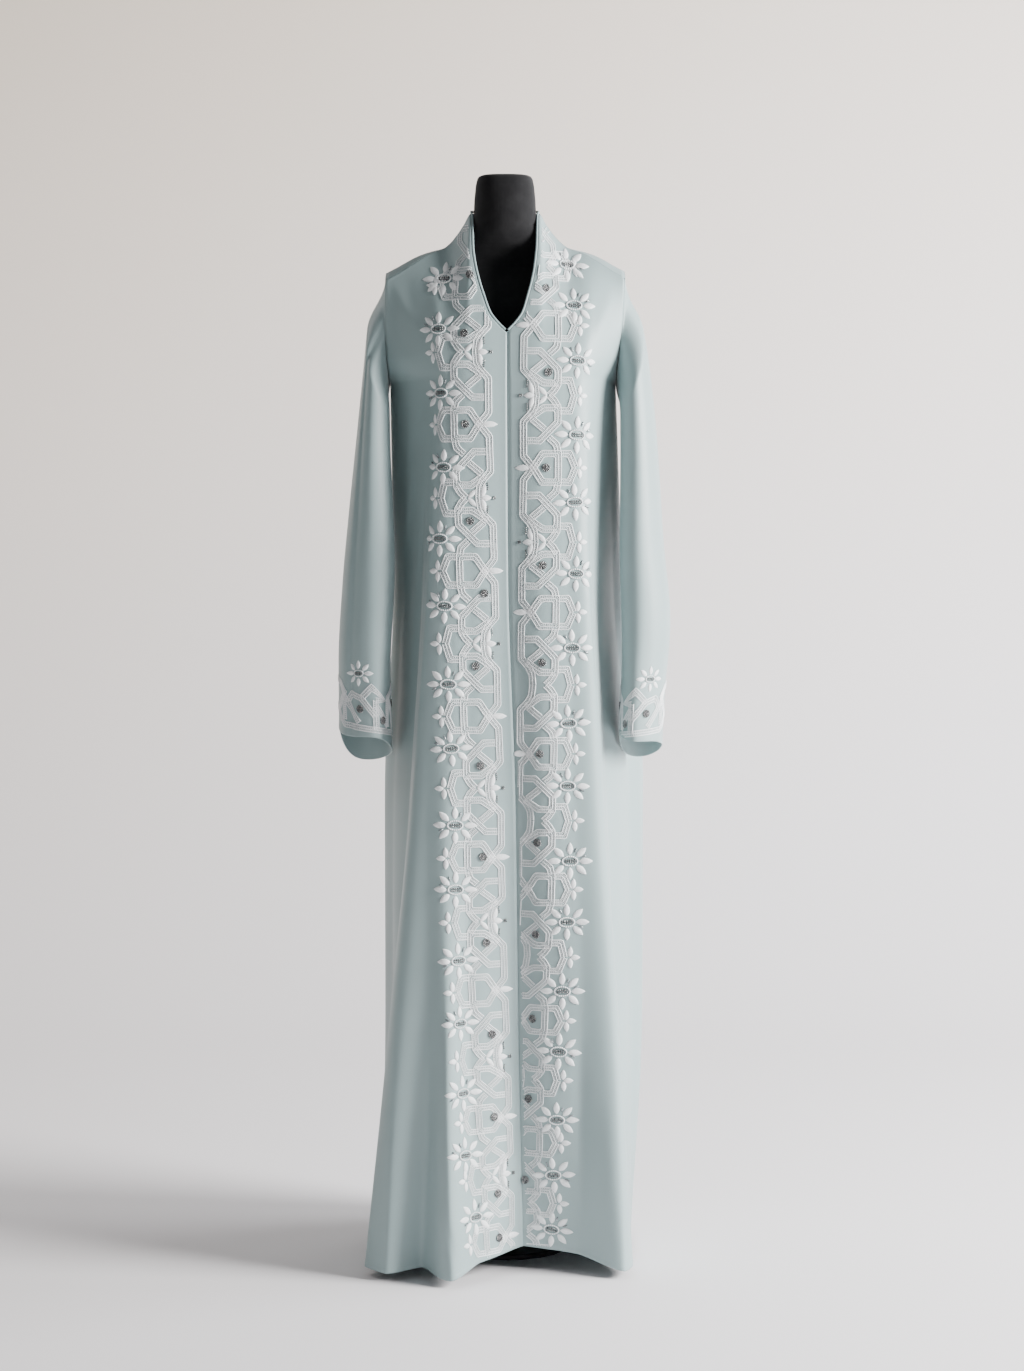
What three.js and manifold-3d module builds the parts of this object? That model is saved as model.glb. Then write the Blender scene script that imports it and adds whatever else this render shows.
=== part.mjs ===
// A closed abaya with embroidered fronts, standing on a limbless dress form.
// Millimetres, +Z up, the garment faces -Y, the wearer's left is +X, the floor is Z = 0.
import * as THREE from "three";
import Module from "manifold-3d";
import { mergeVertices } from "three/addons/utils/BufferGeometryUtils.js";

const wasm = await Module();
wasm.setup();

// ---------------------------------------------------------------- driving sizes
const WALL = 1.8; // cloth wall
const SEAM_GAP = 0.4; // between two pieces at a seam
const LAP = 16; // how far the left front runs on under the right one
const LAP_DROP = 2.8; // how deep it lies there
const CLEAR = 0.3; // what is cut to a wall stays this far off it
const BINDING_RADIUS = 1.7;
const BINDING_GAP = 0.6; // between the binding and the cloth's edge
const BINDING_START = 0.8; // it starts this share of the way up the lowest section
const BINDING_SIDES = 6;
const BINDING_SMOOTH = 0.02; // facets of the binding closer than this are joined
const CHEST = 1290; // height of the armpits
const NECK_TOP = 1541; // top of the neckline beside the neck
const NECK_BASE_X = 50; // half width of the neckline beside the neck
const NAPE_RISE = 6; // the neckline is this much higher at the nape
const NAPE_Y = 51; // and this far behind the axis
const NAPE_SHARE = 0.3; // share of the back's half width that goes round the neck
const CREST_Y = 8; // the shoulder's ridge line lies this far behind the axis
const CREST_FROM = 30; // from this far out beyond the neck
const LEAN_DOWN = 120; // the neck's lean is lost over this much of the neckline
const LEAN_FROM = 60; // and, on the shoulder, from here
const LEAN_ALONG = 50; // over this distance
const FRONT_ROUND = 1.9; // how squarely the fronts turn in to the shoulder
const BACK_ROUND = 2.2; // and the back
const ROLL_ROUND = 1.7; // and the back's roll down to the shoulder seam
const SHOULDER_TIP = 1456; // height of the outer end of the shoulder
const ARM_BULGE = 62; // how far the armhole's back edge stands behind the side seam
const LEVELS = [12, 350, 700, 1000, CHEST]; // heights at which each fold line is given

// Fold lines of the skirt and body, from the centre front round to the wearer's left,
// the back and the wearer's right: the turn from the front in degrees and the reach
// from the axis at each of LEVELS, and the height of the hem below it.
const FOLDS = [
  { at: "centre front", turn: [12.3, 8.3, 5.6, 0.9, 0], reach: [113, 118, 124, 126, 120], hem: 36 },
  { at: "left band", turn: [27.9, 24.8, 23.2, 21.4, 22.3], reach: [132, 148, 147, 143, 132], hem: 33 },
  { at: "left trough", turn: [38.8, 37.7, 35.9, 33.2, 34.1], reach: [164, 172, 162, 155, 143], hem: 29 },
  { at: "left flare", turn: [47.1, 48.9, 47.7, 44, 46.3], reach: [232, 208, 181, 168, 155], hem: 12 },
  { at: "left flare side", turn: [55, 56, 54.7, 49.8, 51.3], reach: [223, 197, 173, 161, 155], hem: 13 },
  { at: "left gap", turn: [62.1, 62.6, 63, 58.4, 57.1], reach: [197, 180, 165, 153, 155], hem: 14 },
  { at: "left ridge", turn: [83.8, 93.1, 96.3, 82.7, 69.7], reach: [185, 184, 182, 157, 156], hem: 15 },
  { at: "left side", turn: [99.2, 107.7, 110.1, 100.5, 91.8], reach: [188, 214, 218, 175, 160], hem: 15 },
  { at: "back left ridge", turn: [124, 126, 126, 128, 128], reach: [215, 208, 195, 160, 150], hem: 14 },
  { at: "back left trough", turn: [143, 145, 146, 146, 146], reach: [188, 180, 165, 142, 132], hem: 15 },
  { at: "back left inner", turn: [160, 162, 163, 163, 163], reach: [210, 195, 170, 138, 124], hem: 13 },
  { at: "centre back", turn: [181, 180, 180, 180, 180], reach: [188, 172, 148, 127, 118], hem: 15 },
  { at: "back right inner", turn: [200, 198, 197, 197, 197], reach: [212, 192, 165, 137, 124], hem: 13 },
  { at: "back right trough", turn: [216, 215, 214, 214, 214], reach: [185, 178, 160, 140, 132], hem: 15 },
  { at: "back right ridge", turn: [235, 233, 232, 232, 232], reach: [215, 205, 188, 158, 150], hem: 14 },
  { at: "right side", turn: [258.7, 252.5, 254.6, 264.9, 269.3], reach: [194, 193, 189, 169, 172], hem: 15 },
  { at: "right ridge", turn: [280, 275, 275.2, 281.2, 292.6], reach: [192, 171, 166, 155, 156], hem: 15 },
  { at: "right gap", turn: [295.6, 292.8, 298.2, 303.5, 307.2], reach: [204, 176, 161, 149, 146], hem: 13 },
  { at: "right flare end", turn: [303.2, 303.1, 306.3, 311.4, 314.2], reach: [245, 205, 172, 157, 145], hem: 12 },
  { at: "right flare", turn: [314.3, 311.2, 313.2, 318, 320.3], reach: [243, 213, 181, 164, 146], hem: 12 },
  { at: "right trough", turn: [320.5, 323.3, 319.9, 323.9, 326.5], reach: [192, 187, 174, 160, 141], hem: 15 },
  { at: "right pleat", turn: [338.7, 331.8, 327.7, 330.7, 332.9], reach: [220, 186, 165, 151, 136], hem: 11 },
  { at: "right band", turn: [347, 340.6, 338.8, 339.9, 341], reach: [169, 151, 144, 140, 129], hem: 26 },
];

// The shoulder, by distance from the centre: height of its ridge, and how far the
// shoulder seam lies below and in front of the axis.
const SHOULDER = {
  x: [0, 50, 60, 70, 81, 92, 112, 130, 144, 158, 177],
  ridge: [1541, 1541, 1525, 1511, 1499, 1491, 1486, 1480, 1473, 1465, 1455],
  drop: [0, 0, 0.5, 1, 2, 3, 6, 11, 13, 14, 14],
  seamY: [-2, -2, -4, -6, -8, -11, -18, -25, -28, -30, -31],
};
// The neckline, by height: half width from the middle of the neck.
const NECKLINE = {
  z: [1358, 1373, 1388, 1412, 1437, 1459, 1489, NECK_TOP],
  x: [0.5, 15, 25.5, 33.5, 40.5, 45, 48.5, NECK_BASE_X],
};
// The armhole, by height: distance from the centre on each side, and the turn, back
// from the side seam towards the front or the back, at which the panels end there.
const ARMHOLE = {
  z: [CHEST, 1305, 1330, 1386, 1456],
  right: [172, 173, 175, 177, 177],
  left: [160, 160, 162, 169, 172],
  openBy: [0, 14, 21, 24, 24],
};
// Sleeve sections by height: outer and inner edge, front and back, on each side.
const SLEEVES = {
  right: {
    z: [740, 885, 1003, 1092, 1210, 1317, 1386, 1423, 1456],
    outer: [246, 247, 241, 233, 221, 210, 203, 195, 186],
    inner: [168, 171, 174, 178, 184, 186, 184, 180, 176],
    front: [-100, -100, -96, -94, -88, -78, -70, -58, -40],
    back: [8, 12, 25, 38, 52, 60, 60, 52, 30],
  },
  left: {
    z: [740, 841, 944, 1062, 1210, 1317, 1386, 1415, 1456],
    outer: [226, 231, 239, 229, 220, 209, 197, 189, 180],
    inner: [163, 166, 170, 172, 174, 174, 174, 173, 171],
    front: [-108, -108, -106, -102, -92, -78, -70, -58, -40],
    back: [-8, -6, 4, 20, 45, 58, 60, 52, 30],
  },
};
// Sleeve folds: the turn round the sleeve from its outer edge (90 is the front) at the
// cap and at the cuff, and how far the fold stands out (or in) at each.
const SLEEVE_FOLDS = {
  right: [
    { cap: 55, cuff: 48, outCap: 3, outCuff: 6, wide: 24 },
    { cap: 98, cuff: 104, outCap: -3, outCuff: -5, wide: 26 },
    { cap: 250, cuff: 262, outCap: 3, outCuff: 6, wide: 30 },
  ],
  left: [
    { cap: 64, cuff: 70, outCap: 3, outCuff: 6, wide: 22 },
    { cap: 104, cuff: 112, outCap: -3, outCuff: -5, wide: 24 },
    { cap: 255, cuff: 250, outCap: 3, outCuff: 6, wide: 30 },
  ],
};
const SLEEVE_SQUARE = 0.85; // how squarely a sleeve's section turns, 1 is an ellipse
const SLEEVE_SPAN = [780, 1400]; // heights of the cuff and the cap for the folds
const SLEEVE_BUNCH = 1.25; // rows of a sleeve stand closer towards the cap
const SLEEVE_JOIN = 0.82; // from this share of its length it turns in to the armhole
const SLEEVE_TURN = 0.62; // degrees of turn for a millimetre across a sleeve
// Cuff edge: height at the outer, front, inner and back points of the sleeve.
const CUFFS = {
  right: { outer: 790, front: 778, inner: 757, back: 736 },
  left: { outer: 762, front: 772, inner: 782, back: 742 },
};
// Appliqué flowers along the outer edge of each embroidered band: height, and
// distance from the centre front measured along the cloth.
const FLOWER_ROWS = {
  right: {
    z: [1440, 1364, 1272, 1166, 1064, 968, 856, 764, 654, 562, 460, 370, 270, 182, 92],
    s: [97, 100, 97, 92, 98, 92, 91, 91, 89, 91, 90, 91, 92, 96, 85],
  },
  left: {
    z: [1462, 1399, 1318, 1212, 1116, 1014, 908, 800, 710, 602, 514, 414, 326, 226, 144, 63],
    s: [95, 99, 102, 101, 97, 98, 90, 81, 77, 79, 74, 67, 61, 56, 48, 43],
  },
};
const FLOWER = {
  petals: 8,
  reachX: 34, // half width to the petal tips
  reachZ: 27, // half height to the petal tips
  heart: 0.36, // where the petals part, as a share of the reach
  crest: 0.68, // where a petal's ridge is highest
  shoulder: 0.68, // where a petal is widest
  petalTurn: 0.3, // half the angle of a petal there, radians
  pad: 1.7, // height of a petal's ridge above the cloth
  rim: -0.4, // height of its rim before it is cut to the cloth
  smooth: 0.2, // facets closer than this are joined
};
const FLOWER_CUT = 3.2; // depth of the wall that a flower is cut to
const SETTLE = 9; // a flower's points lie within this distance of the cloth
const CUFF_FLOWERS = [
  { name: "flower_cuff_right", sleeve: "right", turn: 82, z: 868, scale: 0.72 },
  { name: "flower_cuff_left", sleeve: "left", turn: 76, z: 862, scale: 0.72 },
];
// Dress form, a row to a section: height, half width, front, back and squareness.
const FORM = [
  { z: 866, half: 128, front: -66, back: 68, power: 2.3 },
  { z: 872, half: 140, front: -78, back: 80, power: 2.3 },
  { z: 900, half: 147, front: -86, back: 88, power: 2.3 },
  { z: 960, half: 146, front: -88, back: 90, power: 2.3 },
  { z: 1080, half: 118, front: -80, back: 78, power: 2.3 },
  { z: 1200, half: 130, front: -94, back: 90, power: 2.3 },
  { z: 1290, half: 143, front: -103, back: 98, power: 2.3 },
  { z: 1350, half: 146, front: -90, back: 86, power: 2.1 },
  { z: 1400, half: 150, front: -66, back: 64, power: 1.9 },
  { z: 1430, half: 156, front: -44, back: 44, power: 1.7 },
  { z: 1450, half: 159, front: -29, back: 31, power: 1.6 },
  { z: 1462, half: 152, front: -22, back: 25, power: 1.6 },
  { z: 1474, half: 131, front: -20, back: 26, power: 1.6 },
  { z: 1484, half: 99, front: -25, back: 32, power: 1.7 },
  { z: 1494, half: 77, front: -34, back: 38, power: 1.8 },
  { z: 1506, half: 59, front: -38, back: 40, power: 1.9 },
  { z: 1522, half: 46.5, front: -39, back: 41, power: 2 },
  { z: 1560, half: 45, front: -41, back: 42, power: 2.05 },
  { z: 1580, half: 43, front: -41, back: 42, power: 2.5 },
  { z: 1589, half: 41, front: -40, back: 40, power: 2.6 },
  { z: 1592.5, half: 39, front: -38, back: 38, power: 2.6 },
  { z: 1594, half: 36, front: -34, back: 34, power: 2.6 },
];
const FORM_SIDES = 22;
const FORM_LEAN_FROM = 1440; // the neck leans over from here
const FORM_LEAN_OVER = 80; // within this height
const NECK_SHIFT = -3; // by this far to the wearer's right
const POLE_RADIUS = 14;
const POLE_SIDES = 12;
const STAND_GAP = 0.3; // between the pole and what it joins
const BASE = { radius: 100, height: 8, bevel: 2, foot: 1, sides: 24, setBack: 42 };

// ---------------------------------------------------------------- curves
// Smooth curve through (xs, ys) with no overshoot, held level outside its ends.
function curve(xs, ys) {
  const n = xs.length;
  const rise = [];
  for (let i = 0; i < n - 1; i++) rise.push((ys[i + 1] - ys[i]) / (xs[i + 1] - xs[i]));
  const slope = ys.map((_, i) => {
    if (i === 0) return rise[0];
    if (i === n - 1) return rise[n - 2];
    if (rise[i - 1] * rise[i] <= 0) return 0;
    return (2 * rise[i - 1] * rise[i]) / (rise[i - 1] + rise[i]);
  });
  return (x) => {
    if (x <= xs[0]) return ys[0];
    if (x >= xs[n - 1]) return ys[n - 1];
    let i = 0;
    while (x > xs[i + 1]) i++;
    const step = xs[i + 1] - xs[i];
    const t = (x - xs[i]) / step;
    const a = (1 + 2 * t) * (1 - t) * (1 - t) * ys[i] + t * (1 - t) * (1 - t) * step * slope[i];
    return a + t * t * (3 - 2 * t) * ys[i + 1] - t * t * (1 - t) * step * slope[i + 1];
  };
}
const mix = (a, b, t) => a + (b - a) * t;
const clamp = (x) => Math.min(1, Math.max(0, x));
const ease = (t) => clamp(t) * clamp(t) * (3 - 2 * clamp(t));
const rad = THREE.MathUtils.degToRad;
const point = (x, y, z) => new THREE.Vector3(x, y, z);

// Points at given distances along an open line of points.
function along(line, distances) {
  const run = [0];
  for (let i = 1; i < line.length; i++) run.push(run[i - 1] + line[i].distanceTo(line[i - 1]));
  const pick = ["x", "y", "z"].map((k) => (d) => {
    let i = 0;
    while (i < run.length - 2 && d > run[i + 1]) i++;
    const t = (d - run[i]) / (run[i + 1] - run[i]);
    return mix(line[i][k], line[i + 1][k], t);
  });
  return distances.map((d) => point(...pick.map((p) => p(d))));
}
const lengthOf = (line) =>
  line.slice(1).reduce((sum, p, i) => sum + p.distanceTo(line[i]), 0);

// ---------------------------------------------------------------- the body's form
const sideSign = { right: -1, left: 1 };
const foldCurves = FOLDS.map((f) => ({ turn: curve(LEVELS, f.turn), reach: curve(LEVELS, f.reach) }));
const SIDE_LEFT = FOLDS.findIndex((f) => f.at === "left side");
const SIDE_RIGHT = FOLDS.findIndex((f) => f.at === "right side");

// A horizontal section of the body: reach from the axis by turn from the front.
const ringStore = new Map();
function ringAt(z) {
  if (!ringStore.has(z)) {
    const turns = foldCurves.map((f) => f.turn(z));
    const reaches = foldCurves.map((f) => f.reach(z));
    const lap = (list, step) => [
      ...list.slice(-3).map((v) => v - step),
      ...list,
      ...list.slice(0, 3).map((v) => v + step),
    ];
    ringStore.set(z, { turns, reach: curve(lap(turns, 360), lap(reaches, 0)) });
  }
  return ringStore.get(z);
}
function ringPoint(z, turn) {
  const reach = ringAt(z).reach(turn);
  return point(reach * Math.sin(rad(turn)), -reach * Math.cos(rad(turn)), z);
}
const hemAt = (() => {
  const turns = FOLDS.map((f) => f.turn[0]);
  const hems = FOLDS.map((f) => f.hem);
  return curve([...turns, turns[0] + 360], [...hems, hems[0]]);
})();
const ridgeAt = curve(SHOULDER.x, SHOULDER.ridge);
const seamDrop = curve(SHOULDER.x, SHOULDER.drop);
const seamY = curve(SHOULDER.x, SHOULDER.seamY);
const seamZ = (x) => ridgeAt(x) - seamDrop(x);
// The neck's lean fades out down the neckline and along the shoulder.
const neckLean = (z) => NECK_SHIFT * clamp((z - NECKLINE.z[0]) / LEAN_DOWN);
const leanAt = (x) => NECK_SHIFT * (1 - clamp((x - LEAN_FROM) / LEAN_ALONG));
const shoulderX = (side, x) => x - sideSign[side] * leanAt(x);
const armX = { right: curve(ARMHOLE.z, ARMHOLE.right), left: curve(ARMHOLE.z, ARMHOLE.left) };
const armOpen = curve(ARMHOLE.z, ARMHOLE.openBy);
const neckX = curve(NECKLINE.z, NECKLINE.x);

// What is left of the chest's section at a height, as it goes over to the shoulder line.
const frontRise = (x, z) => 1 - Math.pow(clamp((z - CHEST) / (seamZ(x) - CHEST)), FRONT_ROUND);

// A section of one front from the centre front round to its outer edge, as a line.
function frontLine(side, z) {
  const sign = sideSign[side];
  const low = Math.min(z, CHEST);
  const turns = ringAt(low).turns;
  const start = side === "left" ? turns[0] : turns[0] + 360;
  const end = side === "left" ? turns[SIDE_LEFT] : turns[SIDE_RIGHT];
  const open = z > CHEST ? armOpen(z) : 0;
  const line = [];
  for (let i = 0; i <= LINE_STEPS; i++) {
    const p = ringPoint(low, mix(start, end - sign * open, i / LINE_STEPS));
    line.push(point(p.x, p.y, z));
  }
  if (z <= CHEST) return line;
  const outer = Math.abs(line[LINE_STEPS].x);
  const stretch = armX[side](z) - outer;
  for (const p of line) {
    const x = Math.max(0, p.x * sign);
    const wide = x + stretch * Math.pow(x / outer, 3);
    const station = shoulderX(side, wide);
    p.y = mix(seamY(station), p.y, frontRise(station, z));
    p.x = sign * wide;
  }
  return line;
}
// The part of it that is cloth: outside the neckline and below the shoulder seam.
function clothLine(side, z) {
  const sign = sideSign[side];
  const line = frontLine(side, z);
  const from = z > NECKLINE.z[0] ? neckX(z) + sign * neckLean(z) : -Infinity;
  const top = (p) => (z <= CHEST ? Infinity : seamZ(shoulderX(side, Math.abs(p.x))) - SEAM_GAP);
  const inside = (p) => p.x * sign >= from && z <= top(p);
  const kept = [];
  const border = (a, b) => {
    let [t0, t1] = [0, 1];
    for (let i = 0; i < 30; i++) {
      const t = (t0 + t1) / 2;
      if (inside(a.clone().lerp(b, t)) === inside(a)) t0 = t;
      else t1 = t;
    }
    return a.clone().lerp(b, (t0 + t1) / 2);
  };
  line.forEach((p, i) => {
    if (i && inside(p) !== inside(line[i - 1])) kept.push(border(line[i - 1], p));
    if (inside(p)) kept.push(p);
  });
  return kept;
}
// A point of a front by cloth distance from the centre line and by height, with the
// direction that faces out of the cloth.
function frontSpot(side, s, z) {
  const at = (d, h) => along(frontLine(side, h), [d])[0];
  const p = at(s, z);
  const across = at(s + 2, z).sub(at(s - 2, z));
  const up = at(s, z + 3).sub(at(s, z - 3));
  const out = across.cross(up).normalize();
  if (out.y > 0) out.negate();
  return { p, out };
}

// ---------------------------------------------------------------- walls
const upright = point(0, 0, 1);

// A closed wall on a grid of points of its outer side. Rows run up, columns across.
// flat(row, column) may give a direction that the wall's edge there may not lean to.
function wall(rows, { out = 0, thick = WALL, flat = () => null, round = false }) {
  const height = rows.length;
  const width = rows[0].length;
  const at = (r, c) => {
    const row = rows[Math.min(height - 1, Math.max(0, r))];
    return round ? row[(c + width) % width] : row[Math.min(width - 1, Math.max(0, c))];
  };
  const outer = [];
  const inner = [];
  for (let r = 0; r < height; r++) {
    for (let c = 0; c < width; c++) {
      const across = at(r, c + 1).clone().sub(at(r, c - 1));
      const up = at(r + 1, c).clone().sub(at(r - 1, c));
      const normal = across.cross(up).normalize();
      const keep = flat(r, c);
      if (keep) normal.addScaledVector(keep, -normal.dot(keep)).normalize();
      outer.push(at(r, c).clone().addScaledVector(normal, out));
      inner.push(at(r, c).clone().addScaledVector(normal, out - thick));
    }
  }
  const points = [...outer, ...inner];
  const index = [];
  const half = outer.length;
  const quad = (a, b, c, d) => index.push(a, b, c, a, c, d);
  const columns = round ? width : width - 1;
  for (let r = 0; r < height - 1; r++) {
    for (let c = 0; c < columns; c++) {
      const [a, b] = [r * width + c, r * width + ((c + 1) % width)];
      const [d, e] = [a + width, b + width];
      quad(a, b, e, d);
      quad(half + b, half + a, half + d, half + e);
    }
  }
  for (let c = 0; c < columns; c++) {
    const [a, b] = [c, (c + 1) % width];
    quad(b, a, half + a, half + b);
    const [d, e] = [(height - 1) * width + a, (height - 1) * width + b];
    quad(d, e, half + e, half + d);
  }
  if (!round) {
    for (let r = 0; r < height - 1; r++) {
      const [a, d] = [r * width, (r + 1) * width];
      quad(a, d, half + d, half + a);
      quad(d + width - 1, a + width - 1, half + a + width - 1, half + d + width - 1);
    }
  }
  return geometryOf(points, index);
}
function geometryOf(points, index) {
  const geometry = new THREE.BufferGeometry();
  const flat = points.flatMap((p) => [p.x, p.y, p.z]);
  geometry.setAttribute("position", new THREE.Float32BufferAttribute(flat, 3));
  geometry.setIndex(index);
  return geometry;
}
// A closed tube of rings, each a list of points, with flat ends.
function loft(rings) {
  const width = rings[0].length;
  const index = [];
  for (let r = 0; r < rings.length - 1; r++) {
    for (let c = 0; c < width; c++) {
      const [a, b] = [r * width + c, r * width + ((c + 1) % width)];
      index.push(a, b, b + width, a, b + width, a + width);
    }
  }
  const points = rings.flat();
  for (const [ring, turn] of [[0, 1], [rings.length - 1, 0]]) {
    const middle = points.length;
    points.push(rings[ring].reduce((sum, p) => sum.add(p), point(0, 0, 0)).divideScalar(width));
    for (let c = 0; c < width; c++) {
      const [a, b] = [ring * width + c, ring * width + ((c + 1) % width)];
      index.push(middle, turn ? b : a, turn ? a : b);
    }
  }
  return geometryOf(points, index);
}

// A geometry as a solid that can be cut, and back.
function solidOf(geometry) {
  const merged = mergeVertices(geometry, 1e-4);
  return new wasm.Manifold(
    new wasm.Mesh({
      numProp: 3,
      vertProperties: new Float32Array(merged.attributes.position.array),
      triVerts: new Uint32Array(merged.index.array),
    }),
  );
}
function geometryFrom(solid) {
  const mesh = solid.getMesh();
  const geometry = new THREE.BufferGeometry();
  const flat = new Float32Array(mesh.vertProperties);
  geometry.setAttribute("position", new THREE.BufferAttribute(flat, 3));
  geometry.setIndex(new THREE.BufferAttribute(new Uint32Array(mesh.triVerts), 1));
  return geometry;
}
// The main body of a solid that a cut may have left in pieces, with slivers joined.
function largest(solid, smooth) {
  const bodies = solid.simplify(smooth).decompose();
  bodies.sort((a, b) => b.volume() - a.volume());
  return bodies[0];
}

// ---------------------------------------------------------------- fronts
const BODY_ROWS = 19;
const LINE_STEPS = 72; // steps of a front's section
const RISER_STEPS = 60; // steps of a line up the back
const ROLL_STEPS = 12; // and over the shoulder's ridge
const BACK_GATHER = 1.15; // how soon the back narrows to the shoulder
const LAP_FROM = 1340; // the lap narrows above this height
const LAP_END = 0.2; // to this share of its width at the foot of the neckline
const FRONT_HEIGHTS = [
  1320, 1342, 1358, 1370, 1384, 1402, 1422, 1440, 1457, 1473, 1488, 1502, 1515, 1526, 1535,
];
const SEAM_LEAN = point(0, 0.75, 0.66); // the way the shoulder seam's gap faces

// Columns that follow the fold lines from one to another: each is a fold and a share
// of the way to the next.
function foldColumns(from, to, cells) {
  const list = [];
  const step = Math.sign(to - from);
  let index = 0;
  for (let k = from; k !== to; k += step, index++) {
    for (let i = 0; i < cells[index]; i++) list.push({ k, next: k + step, share: i / cells[index] });
  }
  list.push({ k: to - step, next: to, share: 1 });
  return list;
}
function columnTurn(column, z) {
  const { turns } = ringAt(z);
  const count = turns.length;
  const turnOf = (k) => turns[((k % count) + count) % count] + 360 * Math.floor(k / count);
  return mix(turnOf(column.k), turnOf(column.next), column.share);
}
const COLUMNS = {
  left: foldColumns(0, SIDE_LEFT, [3, 2, 2, 1, 2, 2, 2]),
  right: foldColumns(FOLDS.length, SIDE_RIGHT, [2, 2, 2, 2, 1, 2, 2, 2]),
  back: foldColumns(SIDE_LEFT, SIDE_RIGHT, [3, 2, 2, 3, 3, 2, 2, 3]),
};
// Height of one column's point from the hem to the chest.
function bodyHeight(column, r) {
  const first = FOLDS[0].turn[0];
  const turn = THREE.MathUtils.euclideanModulo(columnTurn(column, LEVELS[0]) - first, 360) + first;
  return mix(hemAt(turn), CHEST, r / BODY_ROWS);
}
function bodyRow(columns, r) {
  return columns.map((column) => {
    const z = bodyHeight(column, r);
    return ringPoint(z, columnTurn(column, z));
  });
}
// Draw the end points of a row in from the side seam.
function seamGap(row, ends) {
  for (const [end, next] of ends) {
    const inward = row[next].clone().sub(row[end]).setLength(SEAM_GAP / 2);
    row[end].add(inward);
  }
  return row;
}
function frontRows(side) {
  const columns = COLUMNS[side];
  const last = columns.length - 1;
  const chest = bodyRow(columns, BODY_ROWS);
  const run = [0];
  for (let c = 1; c <= last; c++) run.push(run[c - 1] + chest[c].distanceTo(chest[c - 1]));
  const rows = [];
  for (let r = 0; r <= BODY_ROWS; r++) rows.push(seamGap(bodyRow(columns, r), [[last, last - 1]]));
  for (const z of FRONT_HEIGHTS) {
    const line = clothLine(side, z);
    rows.push(along(line, run.map((d) => (d / run[last]) * (lengthOf(line) - SEAM_GAP / 2))));
  }
  // Columns run towards +X, so that every wall faces out the same way.
  return side === "left" ? rows : rows.map((row) => row.reverse());
}
// The direction across a side seam, along the section.
function sideSeam(side, z) {
  const low = Math.min(z, CHEST);
  const turn = ringAt(low).turns[side === "left" ? SIDE_LEFT : SIDE_RIGHT];
  return ringPoint(low, turn + 1).sub(ringPoint(low, turn - 1)).normalize();
}
// Directions that the edges of a front keep clear of.
function frontEdges(side, rows) {
  const outer = side === "left" ? COLUMNS.left.length - 1 : 0;
  return (r, c) => {
    if (c !== outer) return null;
    const z = rows[r][c].z;
    if (z <= CHEST + 1) return sideSeam(side, z);
    return z < seamZ(armX[side](SHOULDER_TIP)) - 4 ? point(1, 0, 0) : SEAM_LEAN;
  };
}
// The left front steps back near the centre and runs on under the right one. Above the
// lap its rows keep as many points, close beside the edge.
function lappedRows() {
  return frontRows("left").map(([edge, ...rest]) => {
    const beside = [0, 0.1, 0.2].map((t) => edge.clone().lerp(rest[0], t));
    if (edge.z > NECKLINE.z[0]) return [...beside, ...rest];
    const narrow = clamp((edge.z - LAP_FROM) / (NECKLINE.z[0] - LAP_FROM));
    const lap = LAP * mix(1, LAP_END, narrow);
    const under = along(clothLine("right", edge.z), [lap, lap / 2]);
    const lean = edge.clone().sub(under[0]).cross(upright).normalize().negate();
    const dropped = [...under, edge].map((p) => p.clone().addScaledVector(lean, LAP_DROP));
    return [...dropped, ...rest];
  });
}

// ---------------------------------------------------------------- back
const BACK_UPPER = [0.1, 0.22, 0.34, 0.46, 0.57, 0.67, 0.76, 0.84, 0.9, 0.95, 0.98, 1];

// The line of the back from the chest up over the shoulder to the seam, for one column
// of the back, which stands a share of the way between the side seams.
function backRiser(base, share) {
  const across = Math.abs(1 - 2 * share);
  const side = share < 0.5 ? "left" : "right";
  const sign = sideSign[side];
  const round = Math.min(1, across / NAPE_SHARE) * Math.PI * 0.5;
  const beyond = clamp((across - NAPE_SHARE) / (1 - NAPE_SHARE));
  const top = mix(NECK_BASE_X * Math.sin(round), armX[side](SHOULDER_TIP), beyond);
  const ridge = ridgeAt(top) + NAPE_RISE * Math.cos(round);
  const neckY = NAPE_Y * Math.cos(round);
  const crestY = Math.max(neckY, CREST_Y * ease((top - NECK_BASE_X) / CREST_FROM));
  const line = [];
  for (let i = 0; i <= RISER_STEPS; i++) {
    const t = Math.sin((i / RISER_STEPS) * Math.PI * 0.5);
    const z = mix(CHEST, ridge, t);
    const bulge = (armOpen(z) / armOpen(SHOULDER_TIP)) * ARM_BULGE * Math.pow(across, 6);
    const x = mix(Math.abs(base.x), top + sign * leanAt(top), ease(t * BACK_GATHER));
    line.push(point(sign * x, mix(crestY, base.y + bulge, 1 - Math.pow(t, BACK_ROUND)), z));
  }
  if (top <= NECK_BASE_X + 4) return line;
  const crest = line[RISER_STEPS];
  for (let i = 1; i <= ROLL_STEPS; i++) {
    const t = i / ROLL_STEPS;
    const fall = (seamDrop(top) - SEAM_GAP * 0.4) * t ** ROLL_ROUND;
    line.push(point(crest.x, mix(crestY, seamY(top) + SEAM_GAP * 0.8, t), ridge - fall));
  }
  return line;
}
function backRisers() {
  const chest = bodyRow(COLUMNS.back, BODY_ROWS);
  const { turns } = ringAt(CHEST);
  return chest.map((base, c) => {
    const turned = columnTurn(COLUMNS.back[c], CHEST) - turns[SIDE_LEFT];
    return backRiser(base, turned / (turns[SIDE_RIGHT] - turns[SIDE_LEFT]));
  });
}
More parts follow.
